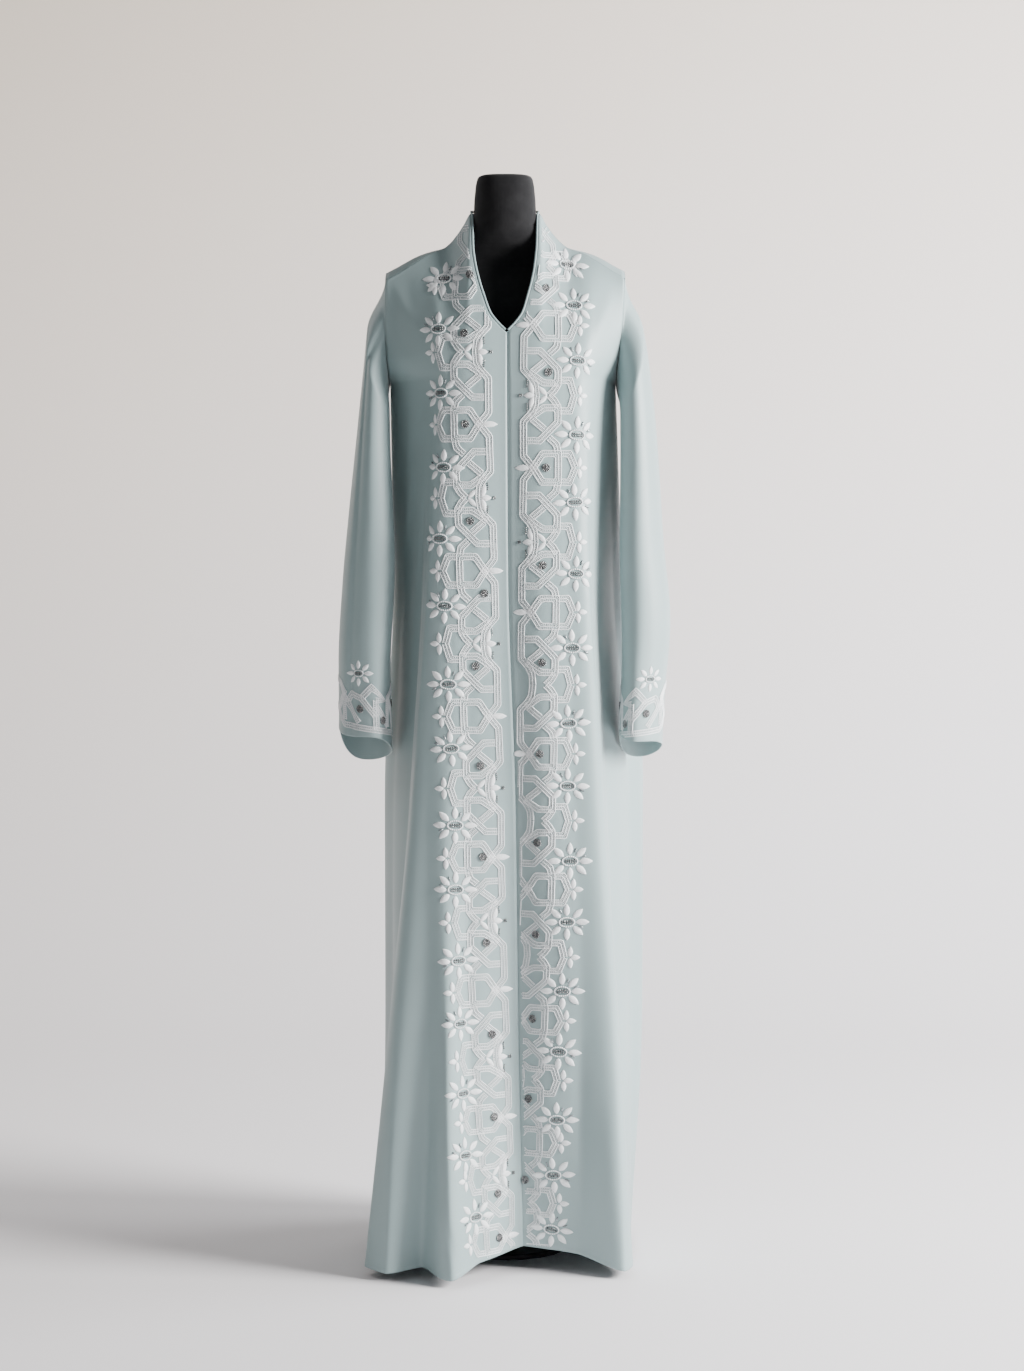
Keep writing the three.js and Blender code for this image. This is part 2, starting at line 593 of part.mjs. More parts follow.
function backRows() {
  const last = COLUMNS.back.length - 1;
  const ends = [[0, 1], [last, last - 1]];
  const rows = [];
  for (let r = 0; r <= BODY_ROWS; r++) rows.push(seamGap(bodyRow(COLUMNS.back, r), ends));
  const risers = backRisers();
  for (const part of BACK_UPPER) {
    rows.push(risers.map((line) => along(line, [part * lengthOf(line)])[0]));
  }
  return rows;
}
// Directions that the edges of the back keep clear of.
function backEdges(rows) {
  const last = COLUMNS.back.length - 1;
  return (r, c) => {
    const side = c === 0 ? "left" : "right";
    if (c === 0 || c === last) return r <= BODY_ROWS ? sideSeam(side, rows[r][c].z) : point(1, 0, 0);
    if (r < rows.length - 1) return null;
    return rows[r][c].z > NECK_TOP - 1 ? upright : SEAM_LEAN;
  };
}
// The three panels of the body as solids, each wall grown by a clearance.
function bodySolids(grow) {
  const lapped = frontEdges("left", frontRows("left"));
  const parts = [
    [frontRows("right"), frontEdges("right", frontRows("right"))],
    [lappedRows(), (r, c) => (c < 2 ? null : lapped(r, c - 2))],
    [backRows(), backEdges(backRows())],
  ];
  return parts.map(([rows, flat]) => wall(rows, { out: grow, thick: WALL + 2 * grow, flat }));
}

// ---------------------------------------------------------------- sleeves
const SLEEVE_COLUMNS = 18;
const SLEEVE_ROWS = 15;

// The armhole as a loop: the edge of the front, the seam's end and the edge of the back.
function armLoop(side) {
  const sign = sideSign[side];
  const front = [];
  for (let z = CHEST; z < 1440; z += 6) {
    const line = clothLine(side, z);
    front.push(line[line.length - 1]);
  }
  const risers = backRisers();
  const riser = side === "left" ? risers[0] : risers[risers.length - 1];
  const loop = [...front, ...riser.slice().reverse()];
  return loop.map((p) => point(p.x + sign * SEAM_GAP * 1.5, p.y, p.z));
}
function sleeveSpot(side, turn, z) {
  const sign = sideSign[side];
  const size = SLEEVES[side];
  const edges = [size.outer, size.inner, size.front, size.back];
  const [outer, inner, front, rear] = edges.map((edge) => curve(size.z, edge)(z));
  const level = clamp((z - SLEEVE_SPAN[0]) / (SLEEVE_SPAN[1] - SLEEVE_SPAN[0]));
  let swell = 1;
  for (const fold of SLEEVE_FOLDS[side]) {
    const away = (turn - mix(fold.cuff, fold.cap, level)) / fold.wide;
    swell += (mix(fold.outCuff, fold.outCap, level) / 60) * Math.exp(-away * away);
  }
  const c = Math.cos(rad(turn));
  const s = Math.sin(rad(turn));
  const flat = (v) => Math.sign(v) * Math.pow(Math.abs(v), SLEEVE_SQUARE);
  return point(
    sign * ((outer + inner) / 2 + ((outer - inner) / 2) * flat(c)),
    (front + rear) / 2 - ((rear - front) / 2) * swell * flat(s),
    z,
  );
}
function sleeveRows(side) {
  const loop = armLoop(side);
  const total = lengthOf(loop);
  const tip = total * 0.5;
  const cuff = CUFFS[side];
  const rows = [];
  for (let r = 0; r <= SLEEVE_ROWS; r++) {
    const t = 1 - Math.pow(1 - r / SLEEVE_ROWS, SLEEVE_BUNCH);
    const row = [];
    for (let c = 0; c < SLEEVE_COLUMNS; c++) {
      const turn = (360 * c) / SLEEVE_COLUMNS;
      const d = (((tip - (total * turn) / 360) % total) + total) % total;
      const top = along(loop, [d])[0];
      const cosine = Math.cos(rad(turn));
      const sine = Math.sin(rad(turn));
      const end = mix(cuff.inner, cuff.outer, (1 + cosine) / 2);
      const edge = mix(end, sine > 0 ? cuff.front : cuff.back, Math.abs(sine));
      const z = mix(edge, top.z, t);
      const hang = sleeveSpot(side, turn, z);
      const near = ease((t - SLEEVE_JOIN) / (1 - SLEEVE_JOIN));
      row.push(point(mix(hang.x, top.x, near), mix(hang.y, top.y, near), z));
    }
    rows.push(side === "left" ? row.reverse() : row);
  }
  return rows;
}
function sleeve(side) {
  const rows = sleeveRows(side);
  const flat = (r) => (r === rows.length - 1 ? point(1, 0, 0) : null);
  return wall(rows, { round: true, flat });
}

// ---------------------------------------------------------------- neckline

// The fronts' neckline edges and the back's top edge, as one line from V to V.
function necklinePath() {
  const away = BINDING_RADIUS + BINDING_GAP;
  const frontEdge = (side) => {
    const rows = frontRows(side).filter((row) => row[0].z > NECKLINE.z[0] - 1);
    const edge = rows.map((row) => (side === "left" ? row : row.slice().reverse()));
    const path = edge.map(([p, inside], i) => {
      const low = edge[Math.max(0, i - 1)][0];
      const high = edge[Math.min(edge.length - 1, i + 1)][0];
      const run = high.clone().sub(low).normalize();
      const off = p.clone().sub(inside);
      off.addScaledVector(run, -off.dot(run)).normalize();
      const inward = run.clone().cross(off);
      if (inward.y < 0) inward.negate();
      return p.clone().addScaledVector(off, away).addScaledVector(inward, WALL / 2);
    });
    return [path[0].lerp(path[1], BINDING_START), ...path.slice(1)];
  };
  const neck = backRows()
    .pop()
    .filter((p) => p.z > NECK_TOP - 1);
  const nape = neck.map((p) => {
    const inward = point(NECK_SHIFT - p.x, -p.y, 0).setLength(WALL / 2);
    return p.clone().add(inward).add(point(0, 0, away));
  });
  return [...frontEdge("right"), ...nape.reverse(), ...frontEdge("left").reverse()];
}
function neckBinding() {
  const path = necklinePath();
  const rings = path.map((p, i) => {
    const before = path[Math.max(0, i - 1)];
    const after = path[Math.min(path.length - 1, i + 1)];
    const ahead = p.clone().sub(before).normalize().add(after.clone().sub(p).normalize()).normalize();
    const side = ahead.clone().cross(point(p.x * 0.4, p.y - 4, p.z - 1300)).normalize();
    const up = side.clone().cross(ahead).normalize();
    return Array.from({ length: BINDING_SIDES }, (_, k) => {
      const a = (-k / BINDING_SIDES) * 2 * Math.PI;
      const q = p.clone().addScaledVector(side, BINDING_RADIUS * Math.cos(a));
      return q.addScaledVector(up, BINDING_RADIUS * Math.sin(a));
    });
  });
  let binding = solidOf(loft(rings));
  for (const grown of bodySolids(CLEAR).map(solidOf)) {
    binding = binding.subtract(grown).subtract(grown.translate(0, 0, CLEAR));
  }
  return geometryFrom(largest(binding, BINDING_SMOOTH));
}

// ---------------------------------------------------------------- appliqué flowers
// A padded flower whose points lie on the cloth that spot(a, b) gives, moved out.
function flowerSolid(spot, scale) {
  const lifted = ([a, b], height) => {
    const { p, out } = spot(a * scale, b * scale);
    return p.clone().addScaledVector(out, height);
  };
  const parting = Math.PI / FLOWER.petals;
  const rim = [];
  const ridges = [];
  for (let k = 0; k < FLOWER.petals; k++) {
    const turn = 2 * k * parting;
    const at = (share, bend) => [
      share * FLOWER.reachX * Math.cos(turn + bend),
      share * FLOWER.reachZ * Math.sin(turn + bend),
    ];
    rim.push(at(FLOWER.heart, -parting), at(FLOWER.shoulder, -FLOWER.petalTurn));
    rim.push(at(1, 0), at(FLOWER.shoulder, FLOWER.petalTurn));
    ridges.push(at(FLOWER.crest, 0));
  }
  const count = rim.length;
  const points = [
    ...rim.map((spotAt) => lifted(spotAt, FLOWER.rim)),
    ...ridges.map((spotAt) => lifted(spotAt, FLOWER.pad)),
    lifted([0, 0], FLOWER.pad),
    lifted([0, 0], 2 * FLOWER.rim),
  ];
  const heart = count + ridges.length;
  const index = [];
  for (let i = 0; i < count; i++) index.push(heart + 1, (i + 1) % count, i);
  for (let k = 0; k < FLOWER.petals; k++) {
    const [notch, low, tip, high] = [4 * k, 4 * k + 1, 4 * k + 2, 4 * k + 3];
    const next = (notch + 4) % count;
    const ridge = count + k;
    index.push(ridge, notch, low, ridge, low, tip, ridge, tip, high, ridge, high, next);
    index.push(heart, ridge, next, heart, notch, ridge);
  }
  return geometryOf(points, index);
}
// The same spot moved onto the faceted cloth that it lies on.
function settled(rows, round, spot) {
  const cloth = new THREE.Mesh(wall(rows, { round }));
  const ray = new THREE.Raycaster();
  ray.far = 2 * SETTLE;
  return (a, b) => {
    const { p, out } = spot(a, b);
    ray.set(p.clone().addScaledVector(out, SETTLE), out.clone().negate());
    const [hit] = ray.intersectObject(cloth);
    return { p: hit ? hit.point : p, out };
  };
}
// Trim a flower to lie just off the cloth.
function onCloth(flower, cutter) {
  let solid = solidOf(flower);
  if (solid.volume() < 0) {
    flower.setIndex([...flower.index.array].reverse());
    solid = solidOf(flower);
  }
  return geometryFrom(largest(solid.subtract(cutter), FLOWER.smooth));
}
function bandFlowers(side) {
  const sign = sideSign[side];
  const rows = frontRows(side);
  const cutter = solidOf(wall(rows, { out: CLEAR, thick: FLOWER_CUT }));
  return FLOWER_ROWS[side].z.map((z, i) => {
    const spot = (a, b) => frontSpot(side, FLOWER_ROWS[side].s[i] + a * sign, z + b);
    const name = `flower_${side}_${String(i + 1).padStart(2, "0")}`;
    return [name, onCloth(flowerSolid(settled(rows, false, spot), 1), cutter)];
  });
}
function cuffFlowers() {
  return CUFF_FLOWERS.map(({ name, sleeve: side, turn, z, scale }) => {
    const rows = sleeveRows(side);
    const cutter = solidOf(wall(rows, { out: CLEAR, thick: FLOWER_CUT, round: true }));
    const spot = (a, b) => {
      const at = (da, db) => sleeveSpot(side, turn - (a + da) * SLEEVE_TURN, z + b + db);
      const across = at(1, 0).sub(at(-1, 0));
      const out = across.cross(at(0, 1).sub(at(0, -1))).normalize();
      if (out.y > 0) out.negate();
      return { p: at(0, 0), out };
    };
    return [name, onCloth(flowerSolid(settled(rows, true, spot), scale), cutter)];
  });
}

// ---------------------------------------------------------------- dress form and stand
function dressForm() {
  const rings = FORM.map(({ z, half, front, back, power }) => {
    const shift = NECK_SHIFT * clamp((z - FORM_LEAN_FROM) / FORM_LEAN_OVER);
    return Array.from({ length: FORM_SIDES }, (_, k) => {
      const a = (k / FORM_SIDES) * 2 * Math.PI;
      const share = (v) => Math.sign(v) * Math.pow(Math.abs(v), 2 / power);
      const depth = Math.sin(a) > 0 ? back : -front;
      return point(shift + half * share(Math.cos(a)), depth * share(Math.sin(a)), z);
    });
  });
  return loft(rings);
}
function standPole() {
  const top = FORM[0].z - STAND_GAP;
  const bottom = BASE.height + STAND_GAP;
  const geometry = new THREE.CylinderGeometry(POLE_RADIUS, POLE_RADIUS, top - bottom, POLE_SIDES);
  return geometry.rotateX(Math.PI / 2).translate(0, 0, (top + bottom) / 2);
}
function standBase() {
  const { radius, height, bevel, foot, sides, setBack } = BASE;
  const profile = [
    [0, 0],
    [radius - foot, 0],
    [radius, foot],
    [radius, height - bevel],
    [radius - bevel, height],
    [0, height],
  ].map(([x, y]) => new THREE.Vector2(x, y));
  return new THREE.LatheGeometry(profile, sides).rotateX(Math.PI / 2).translate(0, setBack, 0);
}

// ---------------------------------------------------------------- the scene
const satin = new THREE.MeshStandardMaterial({ color: 0xa3b8b9, roughness: 0.45, metalness: 0 });
const silk = new THREE.MeshStandardMaterial({ color: 0xdfe6e6, roughness: 0.5, metalness: 0 });
const jersey = new THREE.MeshStandardMaterial({ color: 0x0c0c0e, roughness: 0.9, metalness: 0 });
const steel = new THREE.MeshStandardMaterial({ color: 0x1a1a1c, roughness: 0.5, metalness: 0.8 });

const abaya = new THREE.Group();
function add(name, geometry, material) {
  const plain = new THREE.BufferGeometry();
  plain.setAttribute("position", geometry.getAttribute("position"));
  plain.setIndex(geometry.index);
  plain.computeVertexNormals();
  const mesh = new THREE.Mesh(plain, material);
  mesh.name = name;
  abaya.add(mesh);
}
bodySolids(0).forEach((geometry, i) => add(["front_right", "front_left", "back"][i], geometry, satin));
add("sleeve_right", sleeve("right"), satin);
add("sleeve_left", sleeve("left"), satin);
add("neck_binding", neckBinding(), silk);
for (const [name, flower] of [...bandFlowers("right"), ...bandFlowers("left"), ...cuffFlowers()]) {
  add(name, flower, silk);
}
add("dress_form", dressForm(), jersey);
add("stand_pole", standPole(), steel);
add("stand_base", standBase(), steel);

export default abaya;
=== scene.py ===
# %% [markdown]
# # A closed abaya on a dress form
# A long robe of pale satin crepe hangs from the shoulders of a limbless dress form. The
# right front laps over the left one, two embroidered bands run down beside the opening,
# and more embroidery rings the cuffs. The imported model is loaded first. It fixes the size
# and the place of every piece, so all that follows only dresses it.

# %% Load the frame
import math

import bmesh
import bpy
import numpy as np
from mathutils import Matrix, Vector


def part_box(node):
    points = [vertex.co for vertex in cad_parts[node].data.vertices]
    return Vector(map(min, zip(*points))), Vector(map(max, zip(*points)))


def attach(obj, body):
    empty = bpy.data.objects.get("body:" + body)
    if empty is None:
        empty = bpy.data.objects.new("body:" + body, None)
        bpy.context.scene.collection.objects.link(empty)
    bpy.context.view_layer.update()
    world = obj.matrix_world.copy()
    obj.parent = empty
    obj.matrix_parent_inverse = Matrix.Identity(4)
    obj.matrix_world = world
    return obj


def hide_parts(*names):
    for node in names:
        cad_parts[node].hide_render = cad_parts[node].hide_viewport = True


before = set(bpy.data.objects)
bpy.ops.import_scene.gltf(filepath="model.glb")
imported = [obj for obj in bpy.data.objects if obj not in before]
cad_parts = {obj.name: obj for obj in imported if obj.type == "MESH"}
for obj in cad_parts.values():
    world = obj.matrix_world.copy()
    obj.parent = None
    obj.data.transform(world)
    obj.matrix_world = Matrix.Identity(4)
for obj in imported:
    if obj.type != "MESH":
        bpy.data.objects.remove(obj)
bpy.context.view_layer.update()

# %% [markdown]
# ## The camera
# The robe is seen square on from chest height, with a long lens, so that its sides fall
# almost straight. The camera looks down by three degrees.

# %% Camera
def on_scene(name, data):
    made = bpy.data.objects.new(name, data)
    bpy.context.scene.collection.objects.link(made)
    return made


camera_data = bpy.data.cameras.new("camera")
camera_data.sensor_fit = "VERTICAL"
camera_data.sensor_height = 36
camera_data.lens = 67.42
LOOK_DOWN = 3.055
camera = on_scene("camera", camera_data)
camera.location = (0.0074, -3.8, 1.05)
camera.rotation_euler = (math.radians(90 - LOOK_DOWN), 0, 0)
bpy.context.scene.camera = camera
print("camera at", tuple(round(c, 3) for c in camera.location))

# %% [markdown]
# ## How cloth hangs in folds
# A skirt that hangs from a form keeps a few long folds. Each fold line is a row below. It
# says where the line stands, as the turn in degrees from the front and the reach in
# millimetres from the axis, at five heights, and how high the hem is under it. A smooth
# curve that never overshoots joins the rows.

# %% Tables of the folds
MM = 0.001
CHEST = 1290
NECK_TOP, NECK_BASE_X, NECK_SHIFT = 1541, 50, -3
SHOULDER_TIP = 1456
LEVELS = [12, 350, 700, 1000, CHEST]
FOLDS = [
    ("centre front", [12.3, 8.3, 5.6, 0.9, 0], [113, 118, 124, 126, 120], 36),
    ("left band", [27.9, 24.8, 23.2, 21.4, 22.3], [132, 148, 147, 143, 132], 33),
    ("left trough", [38.8, 37.7, 35.9, 33.2, 34.1], [164, 172, 162, 155, 143], 29),
    ("left flare", [47.1, 48.9, 47.7, 44, 46.3], [232, 208, 181, 168, 155], 12),
    ("left flare side", [55, 56, 54.7, 49.8, 51.3], [223, 197, 173, 161, 155], 13),
    ("left gap", [62.1, 62.6, 63, 58.4, 57.1], [197, 180, 165, 153, 155], 14),
    ("left ridge", [83.8, 93.1, 96.3, 82.7, 69.7], [185, 184, 182, 157, 156], 15),
    ("left side", [99.2, 107.7, 110.1, 100.5, 91.8], [188, 214, 218, 175, 160], 15),
    ("back left ridge", [124, 126, 126, 128, 128], [215, 208, 195, 160, 150], 14),
    ("back left trough", [143, 145, 146, 146, 146], [188, 180, 165, 142, 132], 15),
    ("back left inner", [160, 162, 163, 163, 163], [210, 195, 170, 138, 124], 13),
    ("centre back", [181, 180, 180, 180, 180], [188, 172, 148, 127, 118], 15),
    ("back right inner", [200, 198, 197, 197, 197], [212, 192, 165, 137, 124], 13),
    ("back right trough", [216, 215, 214, 214, 214], [185, 178, 160, 140, 132], 15),
    ("back right ridge", [235, 233, 232, 232, 232], [215, 205, 188, 158, 150], 14),
    ("right side", [258.7, 252.5, 254.6, 264.9, 269.3], [194, 193, 189, 169, 172], 15),
    ("right ridge", [280, 275, 275.2, 281.2, 292.6], [192, 171, 166, 155, 156], 15),
    ("right gap", [295.6, 292.8, 298.2, 303.5, 307.2], [204, 176, 161, 149, 146], 13),
    ("right flare end", [303.2, 303.1, 306.3, 311.4, 314.2], [245, 205, 172, 157, 145], 12),
    ("right flare", [314.3, 311.2, 313.2, 318, 320.3], [243, 213, 181, 164, 146], 12),
    ("right trough", [320.5, 323.3, 319.9, 323.9, 326.5], [192, 187, 174, 160, 141], 15),
    ("right pleat", [338.7, 331.8, 327.7, 330.7, 332.9], [220, 186, 165, 151, 136], 11),
    ("right band", [347, 340.6, 338.8, 339.9, 341], [169, 151, 144, 140, 129], 26),
]
NAMES = [row[0] for row in FOLDS]
SIDE_LEFT, SIDE_RIGHT = NAMES.index("left side"), NAMES.index("right side")
SIGN = {"left": 1, "right": -1}
print("fold lines:", len(FOLDS))

# %% A smooth curve through a row of numbers
def slopes(step, rise):
    """The slope at each knot, level at every crest so that nothing overshoots."""
    rate = rise / step
    a, b = rate[..., :-1], rate[..., 1:]
    same = a * b > 0
    inner = np.where(same, 2 * a * b / np.where(same, a + b, 1), 0)
    return np.concatenate([rate[..., :1], inner, rate[..., -1:]], -1)


def between(t, step, y0, y1, slope0, slope1):
    """A cubic from one knot to the next, with a given slope at each."""
    low = (1 + 2 * t) * (1 - t) ** 2 * y0 + t * (1 - t) ** 2 * step * slope0
    return low + t * t * (3 - 2 * t) * y1 - t * t * (1 - t) * step * slope1


def curve(xs, ys):
    xs, ys = np.array(xs, float), np.array(ys, float)
    slope = slopes(np.diff(xs), np.diff(ys))

    def at(x):
        x = np.clip(x, xs[0], xs[-1])
        i = np.clip(np.searchsorted(xs, x) - 1, 0, len(xs) - 2)
        step = xs[i + 1] - xs[i]
        return between((x - xs[i]) / step, step, ys[i], ys[i + 1], slope[i], slope[i + 1])

    return at


def mix(a, b, t):
    return a + (b - a) * t


def ease(t):
    t = np.clip(t, 0, 1)
    return t * t * (3 - 2 * t)


turn_at = [curve(LEVELS, row[1]) for row in FOLDS]
reach_at = [curve(LEVELS, row[2]) for row in FOLDS]


def knots(z):
    """Turn and reach of every fold line at heights z, with a lap of three at each end."""
    turns = np.stack([f(z) for f in turn_at], -1)
    reaches = np.stack([f(z) for f in reach_at], -1)
    lapped = [turns[..., -3:] - 360, turns, turns[..., :3] + 360]
    lapped_reaches = [reaches[..., -3:], reaches, reaches[..., :3]]
    return np.concatenate(lapped, -1), np.concatenate(lapped_reaches, -1)


def ring(turn, z):
    """Points of the body at a turn from the front and a height."""
    turn, z = np.broadcast_arrays(np.asarray(turn, float), np.asarray(z, float))
    xs, ys = knots(z)
    slope = slopes(np.diff(xs), np.diff(ys))
    i = np.clip((xs < turn[..., None]).sum(-1) - 1, 0, xs.shape[-1] - 2)[..., None]
    pick = lambda a, k: np.take_along_axis(a, k, -1)[..., 0]
    x0, x1, y0, y1 = pick(xs, i), pick(xs, i + 1), pick(ys, i), pick(ys, i + 1)
    step = x1 - x0
    reach = between((turn - x0) / step, step, y0, y1, pick(slope, i), pick(slope, i + 1))
    a = np.radians(turn)
    return np.stack([reach * np.sin(a), -reach * np.cos(a), z], -1)


FIRST_TURN, FIRST_HEM = FOLDS[0][1][0], FOLDS[0][3]
hem_curve = curve([row[1][0] for row in FOLDS] + [FIRST_TURN + 360], [row[3] for row in FOLDS] + [FIRST_HEM])


def hem_at(turn):
    """Height of the hem at any turn, counted on from the first fold."""
    return hem_curve((turn - FIRST_TURN) % 360 + FIRST_TURN)


print("reach at the left side seam:", np.round(ring(107, 350), 1))

# %% [markdown]
# ## Shoulders, neckline and armholes
# Above the chest the round section flattens and rises to the shoulder seam, which lies a
# little in front of the ridge. The neckline is a deep curved V.

# %% Tables of the shoulder
SHOULDER_X = [0, 50, 60, 70, 81, 92, 112, 130, 144, 158, 177]
ridge_at = curve(SHOULDER_X, [1541, 1541, 1525, 1511, 1499, 1491, 1486, 1480, 1473, 1465, 1455])
seam_drop = curve(SHOULDER_X, [0, 0, 0.5, 1, 2, 3, 6, 11, 13, 14, 14])
seam_y = curve(SHOULDER_X, [-2, -2, -4, -6, -8, -11, -18, -25, -28, -30, -31])
NECK_Z = [1358, 1373, 1388, 1412, 1437, 1459, 1489, NECK_TOP]
neck_x = curve(NECK_Z, [0.5, 15, 25.5, 33.5, 40.5, 45, 48.5, NECK_BASE_X])
LEAN_SPAN = 120  # the neckline leans aside over this height
ARM_Z = [CHEST, 1305, 1330, 1386, 1456]
arm_x = {"right": curve(ARM_Z, [172, 173, 175, 177, 177]), "left": curve(ARM_Z, [160, 160, 162, 169, 172])}
arm_open = curve(ARM_Z, [0, 14, 21, 24, 24])


def seam_z(x):
    return ridge_at(x) - seam_drop(x)


def lean_at(x):
    return NECK_SHIFT * (1 - np.clip((x - 60) / 50, 0, 1))


def lean_up(z):
    """How far the neckline leans aside at a height."""
    return NECK_SHIFT * np.clip((z - NECK_Z[0]) / LEAN_SPAN, 0, 1)


def front_line(side, z, steps=240):
    """A section of one front from the centre round to its outer edge."""
    sign, low = SIGN[side], min(z, CHEST)
    start = turn_at[0](low) + (0 if side == "left" else 360)
    end = turn_at[SIDE_LEFT if side == "left" else SIDE_RIGHT](low)
    opened = arm_open(z) if z > CHEST else 0
    line = ring(np.linspace(start, end - sign * opened, steps + 1), np.full(steps + 1, float(low)))
    line[:, 2] = z
    if z <= CHEST:
        return line
    outer = abs(line[-1, 0])
    x = np.maximum(0, line[:, 0] * sign)
    wide = x + (arm_x[side](z) - outer) * (x / outer) ** 3
    station = wide - sign * lean_at(wide)
    rise = 1 - np.clip((z - CHEST) / (seam_z(station) - CHEST), 0, 1) ** 1.9
    line[:, 1] = mix(seam_y(station), line[:, 1], rise)
    line[:, 0] = sign * wide
    return line


def cloth_line(side, z):
    """The part of a section that is cloth: outside the neckline and under the seam."""
    sign, line = SIGN[side], front_line(side, z)
    if z <= CHEST:
        return line
    x = line[:, 0] * sign
    inner = x - (neck_x(z) + sign * lean_up(z)) if z > NECK_Z[0] else np.full(len(x), 1.0)
    top = seam_z(np.abs(line[:, 0]) - sign * lean_at(np.abs(line[:, 0]))) - 0.4 - z
    room = np.minimum(inner, top)
    kept = []
    for i, r in enumerate(room):
        if i and (r >= 0) != (room[i - 1] >= 0):
            kept.append(mix(line[i - 1], line[i], room[i - 1] / (room[i - 1] - r)))
        if r >= 0:
            kept.append(line[i])
    return np.array(kept)


def run_of(line):
    return np.concatenate([[0], np.cumsum(np.linalg.norm(np.diff(line, axis=0), axis=1))])


def along(line, distances):
    """Points at given distances along a line, carried on straight past its start."""
    run = run_of(line)
    i = np.clip(np.searchsorted(run, distances) - 1, 0, len(run) - 2)
    t = (distances - run[i]) / np.maximum(run[i + 1] - run[i], 1e-6)
    return line[i] + (line[i + 1] - line[i]) * t[:, None]


print("shoulder seam at 100 mm:", round(float(seam_z(100)), 1))

# %% [markdown]
# ## Soft creases
# Besides its long folds, satin crepe takes small soft creases: a drape from the bust
# towards the arm, a dent beside a pleat. Each is a line on the front view with its width
# and how far it stands out, or in where it is negative.

# %% Creases of the fronts and the back
CREASES = {
    "front_right": [
        ([(-168, 1436), (-150, 1402), (-128, 1365)], 10, 1.8),
        ([(-176, 1400), (-158, 1360), (-136, 1325)], 9, -1.8),
        ([(-178, 1362), (-165, 1322), (-148, 1280)], 11, 1.6),
        ([(-142, 1160), (-152, 1060), (-158, 960), (-157, 850)], 10, 2.2),
        ([(-128, 1240), (-134, 1130), (-140, 1010), (-146, 900)], 7, -1.6),
        ([(-165, 780), (-169, 620), (-172, 470)], 9, 1.6),
        ([(-84, 86), (-80, 64), (-77, 40)], 5, -1.6),
        ([(-95, 110), (-91, 84), (-89, 60)], 5, 1.2),
        ([(-112, 330), (-116, 200), (-118, 60)], 9, -1.5),
        ([(-60, 520), (-58, 350), (-56, 200)], 14, -1.4),
    ],
    "front_left": [
        ([(120, 1260), (126, 1120), (131, 980), (136, 820)], 8, 1.8),
        ([(108, 1290), (112, 1150), (118, 1000)], 9, -1.5),
        ([(152, 1160), (150, 1050), (150, 900)], 8, -1.5),
        ([(150, 1420), (138, 1380), (124, 1340)], 10, 1.4),
        ([(105, 330), (108, 200), (112, 90)], 9, -1.8),
        ([(148, 240), (152, 140), (156, 60)], 14, 1.5),
        ([(60, 560), (62, 400), (64, 250)], 14, -1.2),
    ],
    "back": [
        ([(-60, 1330), (-72, 1150), (-84, 900)], 16, 2.2),
        ([(46, 1350), (60, 1180), (70, 960)], 15, 2.0),
        ([(-10, 1250), (-6, 1000), (0, 700)], 18, -1.8),
        ([(-120, 1400), (-90, 1340), (-40, 1310)], 14, 1.6),
        ([(120, 1390), (86, 1330), (44, 1300)], 13, 1.6),
        ([(-130, 700), (-138, 480), (-146, 250)], 15, -2.0),
        ([(96, 760), (112, 520), (120, 300)], 16, -2.0),
    ],
}


def crease_relief(name, points):
    """How far the cloth stands out at each point, from the creases near it."""
    total = np.zeros(points.shape[:-1])
    flat = points[..., [0, 2]]
    for line, wide, out in CREASES[name]:
        near = np.full(total.shape, 1e9)
        share = np.zeros(total.shape)
        for k, (a, b) in enumerate(zip(line[:-1], line[1:])):
            a, b = np.array(a, float), np.array(b, float)
            t = np.clip(((flat - a) @ (b - a)) / ((b - a) @ (b - a)), 0, 1)
            gap = np.linalg.norm(flat - (a + t[..., None] * (b - a)), axis=-1)
            share = np.where(gap < near, (k + t) / (len(line) - 1), share)
            near = np.minimum(near, gap)
        total += out * np.sin(np.pi * np.clip(share * 0.8 + 0.1, 0, 1)) * np.exp(-((near / wide) ** 2))
    return total


def outward(rows):
    """The direction out of the cloth at each point of a grid of its outer side."""
    normal = np.cross(np.gradient(rows, axis=1), np.gradient(rows, axis=0))
    return normal / np.maximum(np.linalg.norm(normal, axis=-1, keepdims=True), 1e-9)


print("creases:", {name: len(rows) for name, rows in CREASES.items()})

# %% [markdown]
# ## Rows and columns of cloth
# A panel is a grid. Its columns follow the fold lines down the skirt, and its rows are
# close together at the hem, where a stitched fold of cloth thickens the edge.

# %% Grids of the panels
HEM_STEPS = np.concatenate([np.arange(0, 13.5, 1.5), np.linspace(16, 1275, 200)]) / 1275
HEM_STITCH = 7.5
EDGE_FADE = 0.08  # creases fade out over this share of a panel's width


def fold_columns(first, last, count):
    """Columns between two fold lines, as fold numbers with a share of the way on."""
    return np.linspace(first, last, abs(last - first) * count + 1)


def column_turn(column, z):
    """Turn of a column at a height; columns past the last fold go on round."""
    total = len(FOLDS)
    base = np.floor(column).astype(int)
    turns = np.stack([f(z) for f in turn_at], -1)
    pick = lambda k: np.take_along_axis(turns, (k % total)[..., None], -1)[..., 0] + 360 * (k // total)
    return mix(pick(base), pick(base + 1), column - base)


def skirt_rows(columns):
    """The grid from the hem to the chest."""
    turn = column_turn(columns, np.full(len(columns), float(LEVELS[0])))
    hem = hem_at(turn)
    z = mix(hem[None, :], CHEST, HEM_STEPS[:, None])
    wide = np.broadcast_to(columns, z.shape)
    rows = ring(column_turn(wide, z), z)
    return rows, z - hem[None, :]


